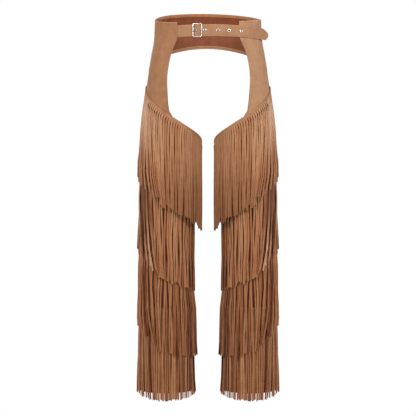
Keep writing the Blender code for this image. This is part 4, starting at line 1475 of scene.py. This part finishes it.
def waist_strap():
    stations = strap_stations()
    above = {STRAP_HALF - mark for mark in STRAP_MARKS}
    heights = np.array(sorted(above | {-height for height in above}))
    grid = dense(strap_point, stations, heights / STRAP_HALF)
    edge = np.minimum((STRAP_HALF - np.abs(heights))[:, None], (TIP_END - stations)[None] + 0.4)
    grid = moved_out(grid, -0.5 * bells(edge, 0.0, 1.1) - 0.3 * bells(edge, STRAP_MARKS[STRAP_STITCH], 0.6))
    rub_and_sheen = 0.9 * bells(edge, 0.0, 1.6)
    for at in EYELET_PLACES:
        rub_and_sheen = np.maximum(rub_and_sheen, 0.6 * bells(np.abs(stations - at)[None] + np.abs(heights)[:, None], 0.0, 7.0))
    thick = STRAP_THICK - 0.9 * bells(edge, 0.0, 1.1)
    piece = panel_piece("waist_strap_leather", grid, thick, SUEDE_FINISHES, rub_and_sheen=rub_and_sheen)
    start, end = np.searchsorted(stations, -78.0), len(stations) - len(TIP_STEPS) + 1
    row = int(np.argmin(np.abs(heights - (-STRAP_HALF + STRAP_MARKS[STRAP_STITCH]))))
    lines = (np.s_[row, start:end], np.s_[len(heights) - 1 - row, start:end])
    sew("strap", grid, normals_of(grid), *lines, pitch=3.0)
    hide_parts("waist_strap")
    return piece, grid


strap, strap_grid = waist_strap()
print("points of the strap's face:", strap_grid.shape[0] * strap_grid.shape[1])

# %% Punched holes
def only(obj):
    bpy.ops.object.select_all(action="DESELECT")
    obj.select_set(True)
    bpy.context.view_layer.objects.active = obj


def combine(obj, operation, other):
    """Cuts another object out of a piece, or joins it on, and removes it."""
    only(obj)
    modifier = obj.modifiers.new("Combined", "BOOLEAN")
    modifier.operation, modifier.object = operation, other
    bpy.ops.object.modifier_apply(modifier=modifier.name)
    bpy.data.objects.remove(other, do_unlink=True)


def eyelet_at(number):
    """An eyelet's axes on the strap, with Z outwards along its hole."""
    along = EYELET_PLACES[number]
    step = EYELET_FLAT if number else 1.0
    before, after = (waist_place(at, read(STRAP_ROWS, "out", at))[0] for at in (along - step, along + step))
    direction = (after - before).normalized()
    level = Vector((direction.y, -direction.x, 0.0))
    up = (Vector((0.0, 0.0, STRAP_HALF)) - level * read(STRAP_ROWS, "lean", along)).normalized()
    return axes_at((before + after) / 2, direction, up, direction.cross(up))


for number in range(EYELETS):
    bpy.ops.mesh.primitive_cylinder_add(vertices=24, radius=EYELET_HOLE * MM, depth=12 * MM)
    punch = bpy.context.object
    punch.matrix_world = eyelet_at(number)
    combine(strap, "DIFFERENCE", punch)
sheets.append((strap, strap_grid, "stretched", ["left_hip_front", "buckle_frame"], ["strap_stitching"]))
keep(strap, strap_grid)

# %% [markdown]
# ## Buckle tab
# A short piece sewn behind the left hip panel goes round the buckle's middle bar and back on itself, with a
# slot at mid height for the prong. It is a thin sheet along one folded line, so a grid with the slot left
# out and Solidify gives it, and a narrow Bevel rounds its cut edges.

# %% Tab
TAB_THICK = 1.2
SLOT = 2.4  # half the slot's height
TAB_BACK = (18.0, 14.0, 10.0, 6.0)  # places along its short end, from the cut edge to the bar
TAB_BACK_OUT = -3.3


def buckle_axes():
    """The buckle's own axes: X along the strap, Y up it and Z outwards."""
    point, direction, normal = waist_place(BUCKLE_AT)
    return axes_at(point, direction, Vector((0.0, 0.0, 1.0)), normal)


def round_the_bar(radius, start, end, count):
    """Places round the buckle's bar between two angles: how far along the strap, and how far out."""
    turns = np.radians(np.linspace(start, end, count))
    return [(radius * math.cos(turn), BAR_OUT + radius * math.sin(turn)) for turn in turns]


def buckle_tab():
    place = buckle_axes()
    fold = [(x, TAB_BACK_OUT) for x in TAB_BACK] + round_the_bar(BAR + 0.5, 30.0, 260.0, 16)
    heights = (-STRAP_HALF, -STRAP_HALF + 2.6, -8.0, -SLOT, SLOT, 8.0, STRAP_HALF - 2.6, STRAP_HALF)
    rows = []
    for height in heights:
        row = [place @ (Vector((x, height, out)) * MM) / MM for x, out in fold]
        for along in np.concatenate((np.linspace(-18.0, 50.0, 24), np.linspace(54.0, TAB_START, 16))):
            out, lean = read(TAB_ROWS, "out", along), read(TAB_ROWS, "lean", along) * height / STRAP_HALF
            row.append(waist_place(along, out - lean)[0] + Vector((0.0, 0.0, height)))
        rows.append(row)
    grid = np.array(rows)
    columns = grid.shape[1]
    faces = []
    for r in range(len(heights) - 1):
        for c in range(columns - 1):
            slotted = heights[r] == -SLOT and len(TAB_BACK) - 1 <= c < len(fold)
            a = r * columns + c
            if not slotted:
                faces.append((a, a + 1, a + columns + 1, a + columns))
    marks = {"rub_and_sheen": [0.5 * (abs(height) == STRAP_HALF) for height in heights for _ in range(columns)]}
    piece = new_piece("buckle_tab_leather", grid.reshape(-1, 3), faces, SUEDE_FINISHES[:2], marks=marks)
    skin = piece.modifiers.new("Thickness", "SOLIDIFY")
    skin.thickness, skin.offset, skin.material_offset = TAB_THICK * MM, -1.0, 1
    rounded = piece.modifiers.new("Cut edges", "BEVEL")
    rounded.width, rounded.segments, rounded.angle_limit = 0.3 * MM, 2, math.radians(60)
    only(piece)
    for modifier in (skin, rounded):
        bpy.ops.object.modifier_apply(modifier=modifier.name)
    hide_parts("buckle_tab")
    return piece, grid


tab, tab_grid = buckle_tab()
sheets.append((tab, tab_grid, "stretched", ["buckle_frame", "left_hip_front"], []))
keep(tab, tab_grid)

# %% [markdown]
# ## Buckle
# The frame is one wire bent to a rectangle with rounded corners, with a thinner bar across its middle. A
# plane with bevelled corners gives the frame's line, and a curve with a round section gives the wire. The
# prong is hooked round the bar, goes out through the first eyelet and rests on the frame's end.

# %% Wire
@contextmanager
def edit_mode():
    """Edit mode with everything selected, and back to object mode at the end."""
    bpy.ops.object.mode_set(mode="EDIT")
    bpy.ops.mesh.select_all(action="SELECT")
    yield
    bpy.ops.object.mode_set(mode="OBJECT")


def close_up():
    """In edit mode, merges points that touch and turns the faces outwards."""
    bpy.ops.mesh.select_all(action="SELECT")
    bpy.ops.mesh.remove_doubles(threshold=0.00001)
    bpy.ops.mesh.normals_make_consistent(inside=False)


def finished(obj, name, finish, replaced):
    """Names a new piece, moves its place into its mesh and gives it its finish."""
    only(obj)
    bpy.ops.object.transform_apply(location=True, rotation=True, scale=True)
    obj.name = obj.data.name = name
    obj.data.materials.clear()
    obj.data.materials.append(finish)
    bpy.ops.object.shade_smooth_by_angle(angle=math.radians(45))
    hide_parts(replaced)
    keep(obj)


def as_wire(obj, radius):
    """Turns an object of edges into a round wire."""
    only(obj)
    bpy.ops.object.convert(target="CURVE")
    obj.data.bevel_depth = radius * MM
    obj.data.bevel_resolution = 4
    obj.data.use_fill_caps = True
    bpy.ops.object.convert(target="MESH")
    with edit_mode():
        close_up()
    return obj


def drawn_wire(points, radius):
    """A wire along points in millimetres: one vertex, extruded from point to point."""
    bpy.ops.mesh.primitive_plane_add(size=0.001, location=(0, 0, 0))
    obj = bpy.context.object
    with edit_mode():
        bpy.ops.mesh.merge(type="CENTER")
        bpy.ops.transform.translate(value=Vector(points[0]) * MM)
        for one, other in zip(points, points[1:]):
            step = (Vector(other) - Vector(one)) * MM
            bpy.ops.mesh.extrude_region_move(TRANSFORM_OT_translate={"value": step})
    return as_wire(obj, radius)


print("the frame's wire is", 2 * WIRE, "mm thick, the prong", 2 * PRONG, "mm")

# %% Buckle
def buckle_frame():
    bpy.ops.mesh.primitive_plane_add(size=1.0, location=(0, 0, FRAME_OUT * MM))
    frame_wire = bpy.context.object
    frame_wire.scale = (2 * BUCKLE_HALF * MM, 2 * RAIL * MM, 1.0)
    bpy.ops.object.transform_apply(location=True, rotation=False, scale=True)
    with edit_mode():
        bpy.ops.mesh.bevel(offset=FRAME_CORNER * MM, segments=8, affect="VERTICES")
        bpy.ops.mesh.delete(type="ONLY_FACE")
    as_wire(frame_wire, WIRE)
    # The bar drops from the frame's upper rail to its own depth, crosses, and rises to the lower rail.
    drop = [(RAIL, FRAME_OUT), (RAIL, BAR_OUT + 1.5), (RAIL - 0.4, BAR_OUT + 0.4), (RAIL - 1.5, BAR_OUT)]
    across = drop + [(-y, out) for y, out in reversed(drop)]
    combine(frame_wire, "UNION", drawn_wire([(0.0, y, out) for y, out in across], BAR))
    frame_wire.matrix_world = buckle_axes()
    finished(frame_wire, "buckle_frame_wire", nickel, "buckle_frame")


def buckle_prong():
    hole = EYELET_PLACES[0] - BUCKLE_AT
    over_strap = CREST + STRAP_THICK / 2 + PRONG + 0.9
    over_bar = FRAME_OUT + WIRE + PRONG + SEAM
    end, half_way = -BUCKLE_HALF, mix(over_strap, over_bar, 0.5)
    line = round_the_bar(BAR + SEAM + PRONG, 60.0, -190.0, 18) + [
        (hole + 0.5, 0.2),
        (hole + 0.1, 1.6),
        (hole - 0.1, 3.0),
        (hole - 0.4, over_strap - 0.5),
        (hole - 0.9, over_strap),
        (hole - 1.6, over_strap + 0.3),
        (mix(hole - 1.6, end + 2.0, 0.5), half_way + 0.35),
        (end + 2.0, over_bar + 0.3),
        (end, over_bar + 0.15),
        (end - 1.6, over_bar),
    ]
    prong = drawn_wire([(x, 0.0, out) for x, out in line], PRONG)
    prong.matrix_world = buckle_axes()
    finished(prong, "buckle_prong_wire", nickel, "buckle_prong")


buckle_frame()
buckle_prong()

# %% [markdown]
# ## Eyelets
# An eyelet is a short tube whose outer end is spun over into a domed flange. It is modelled as it is spun:
# a circle is extruded and resized from ring to ring, out over the flange and back down inside, and closed.

# %% Eyelets
Ring = namedtuple("Ring", "radius height grime")
FACE = STRAP_THICK / 2 + SEAM
EYELET_RINGS = (
    Ring(1.70, -STRAP_THICK / 2, 1.0),
    Ring(1.70, FACE, 1.0),
    Ring(1.74, FACE + 0.30, 1.0),
    Ring(1.90, FACE + 0.56, 0.9),
    Ring(2.25, FACE + 0.80, 0.5),
    Ring(2.75, FACE + 0.90, 0.2),
    Ring(3.30, FACE + 0.82, 0.1),
    Ring(3.80, FACE + 0.58, 0.2),
    Ring(4.15, FACE + 0.28, 0.5),
    Ring(4.28, FACE + 0.06, 1.0),
    Ring(4.20, FACE, 1.0),
    Ring(2.30, FACE, 1.0),
    Ring(2.30, -STRAP_THICK / 2, 1.0),
    Ring(1.70, -STRAP_THICK / 2, 1.0),
)
FIRST_EYELET_DULL = 0.6  # the first eyelet, which the prong goes through, is duller and darker all over


def spun_eyelet():
    radius, height, _ = EYELET_RINGS[0]
    bpy.ops.mesh.primitive_circle_add(vertices=32, radius=radius * MM, location=(0, 0, height * MM))
    bpy.ops.object.transform_apply(location=True, rotation=True, scale=True)
    with edit_mode():
        for one, other in zip(EYELET_RINGS, EYELET_RINGS[1:]):
            rise, grow = (other.height - one.height) * MM, other.radius / one.radius
            bpy.ops.mesh.extrude_region_move(TRANSFORM_OT_translate={"value": (0, 0, rise)})
            bpy.ops.transform.resize(value=(grow, grow, 1.0), center_override=(0, 0, other.height * MM))
        close_up()
    # Dark grime, which is also painted shade, lies in the bore and under the flange's edge.
    eyelet = bpy.context.object
    grime = eyelet.data.attributes.new("grime", "FLOAT", "POINT")
    for vertex, kept in zip(eyelet.data.vertices, grime.data):
        radius, height = math.hypot(vertex.co.x, vertex.co.y) / MM, vertex.co.z / MM
        nearest = min(EYELET_RINGS, key=lambda ring: math.dist(ring[:2], (radius, height)))
        kept.value = nearest.grime
    return eyelet


eyelet_model = spun_eyelet()
for number in range(EYELETS):
    copy = eyelet_model.copy()
    copy.data = eyelet_model.data.copy()
    bpy.context.scene.collection.objects.link(copy)
    copy.matrix_world = eyelet_at(number)
    for kept in copy.data.attributes["grime"].data:
        kept.value = max(kept.value, 0.0 if number else FIRST_EYELET_DULL)
    finished(copy, f"eyelet_{number + 1}_spun", nickel, f"eyelet_{number + 1}")
bpy.data.objects.remove(eyelet_model, do_unlink=True)

# %% [markdown]
# ## Laying the stitches
# Every line of stitching is known by now, with the way that the cloth faces along it. One mesh for a part
# of the garment is quicker to make than an object for each of some hundreds of stitches.

# %% Lay the stitches
for group, lines in stitch_lines.items():
    keep(stitch_piece(f"{group}_stitching", lines))

# %% [markdown]
# ## What each piece is
# Everything rides on the one body. The size that each cut piece of cloth was cut to is worked out: its
# longest row and column on the worn form.

# %% Rides and sizes
for name, piece in pieces.items():
    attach(piece, "root")
for piece, grid, held, rests_on, goes_with in sheets:
    size = flat_size(grid)
triangles = sum(len(p.data.loop_triangles) or 2 * len(p.data.polygons) for p in pieces.values())
print(len(pieces), "pieces, about", triangles, "triangles")

# %% [markdown]
# ## Floor and light
# A plain white floor lies below the hems, where the wearer's feet would be. Two large soft lights stand
# high in front, to the left and the right, as studio softboxes. Weak ones light the sides, one stands
# behind, and a white sky gives the rest, as a light tent does. Spotlights would draw hard shadows between
# the strands.

# %% Floor
FLOOR_DROP = 0.045  # metres below the hems


def seen_apart(tree, given, seen, output):
    """Gives one look to the light and shows another to the camera."""
    both = tree.nodes.new("ShaderNodeMixShader")
    feed(tree, tree.nodes.new("ShaderNodeLightPath").outputs["Is Camera Ray"], both.inputs["Fac"])
    feed(tree, given.outputs[0], both.inputs[1])
    feed(tree, seen.outputs[0], both.inputs[2])
    feed(tree, both.outputs[0], output.inputs["Surface"])


floor_at = (0, 0, cad_box[0][2] - FLOOR_DROP)
bpy.ops.mesh.primitive_circle_add(vertices=96, radius=14.0, fill_type="NGON", location=floor_at)
floor = bpy.context.object
floor.name = "studio_floor"
floor_paint, paint_tree, paint = new_material("floor_paint")
set_inputs(paint, {"Base Color": (0.62, 0.61, 0.60, 1.0), "Roughness": 0.9})
# A studio's floor is lit until it prints white. That would wash the hems out, so only the camera sees it so.
bright = paint_tree.nodes.new("ShaderNodeEmission")
set_inputs(bright, {"Strength": 1.0})
seen_apart(paint_tree, paint, bright, paint_tree.nodes["Material Output"])
floor.data.materials.append(floor_paint)
print("the floor lies at", round(floor.location.z, 3), "m")

# %% White sky
SKY_LIGHT = 0.24
scene = bpy.context.scene
scene.view_settings.view_transform = "Standard"
sky = bpy.data.worlds.new("white_sky")
scene.world = sky
sky.use_nodes = True
sky_tree = sky.node_tree
sky_tree.nodes.clear()
given, seen = sky_tree.nodes.new("ShaderNodeBackground"), sky_tree.nodes.new("ShaderNodeBackground")
for background, strength in ((given, SKY_LIGHT), (seen, 1.0)):
    set_inputs(background, {"Color": (1.0, 1.0, 1.0, 1.0), "Strength": strength})
seen_apart(sky_tree, given, seen, sky_tree.nodes.new("ShaderNodeOutputWorld"))
print("the sky gives", SKY_LIGHT, "of the white that it shows")

# %% Lights
Softbox = namedtuple("Softbox", "name at aim size power")
SOFTBOXES = (
    Softbox("key_softbox", (1.05, -1.5, 0.85), (0.0, 0.0, 0.0), 0.9, 29.0),
    Softbox("fill_softbox", (-1.05, -1.5, 0.85), (0.0, 0.0, 0.0), 0.9, 27.0),
    Softbox("left_softbox", (1.7, 0.1, 0.1), (0.0, 0.0, -0.3), 1.2, 7.5),
    Softbox("right_softbox", (-1.7, 0.1, 0.1), (0.0, 0.0, -0.3), 1.2, 7.5),
    Softbox("back_softbox", (-0.6, 1.9, 1.1), (0.0, 0.0, -0.2), 1.3, 30.0),
)
for box in SOFTBOXES:
    bpy.ops.object.light_add(type="AREA", location=box.at)
    lamp = bpy.context.object
    lamp.name = box.name
    lamp.data.size, lamp.data.energy = box.size, box.power
    lamp.rotation_euler = (Vector(box.aim) - Vector(box.at)).to_track_quat("-Z", "Y").to_euler()
print("lights:", len(SOFTBOXES))

# %% [markdown]
# ## Sizes and finish
# The box of the solids is measured at the start.

# %% Sizes
print("the box of the solids was measured at the start")

# %% Finish
print("finishing", len(pieces), "pieces")
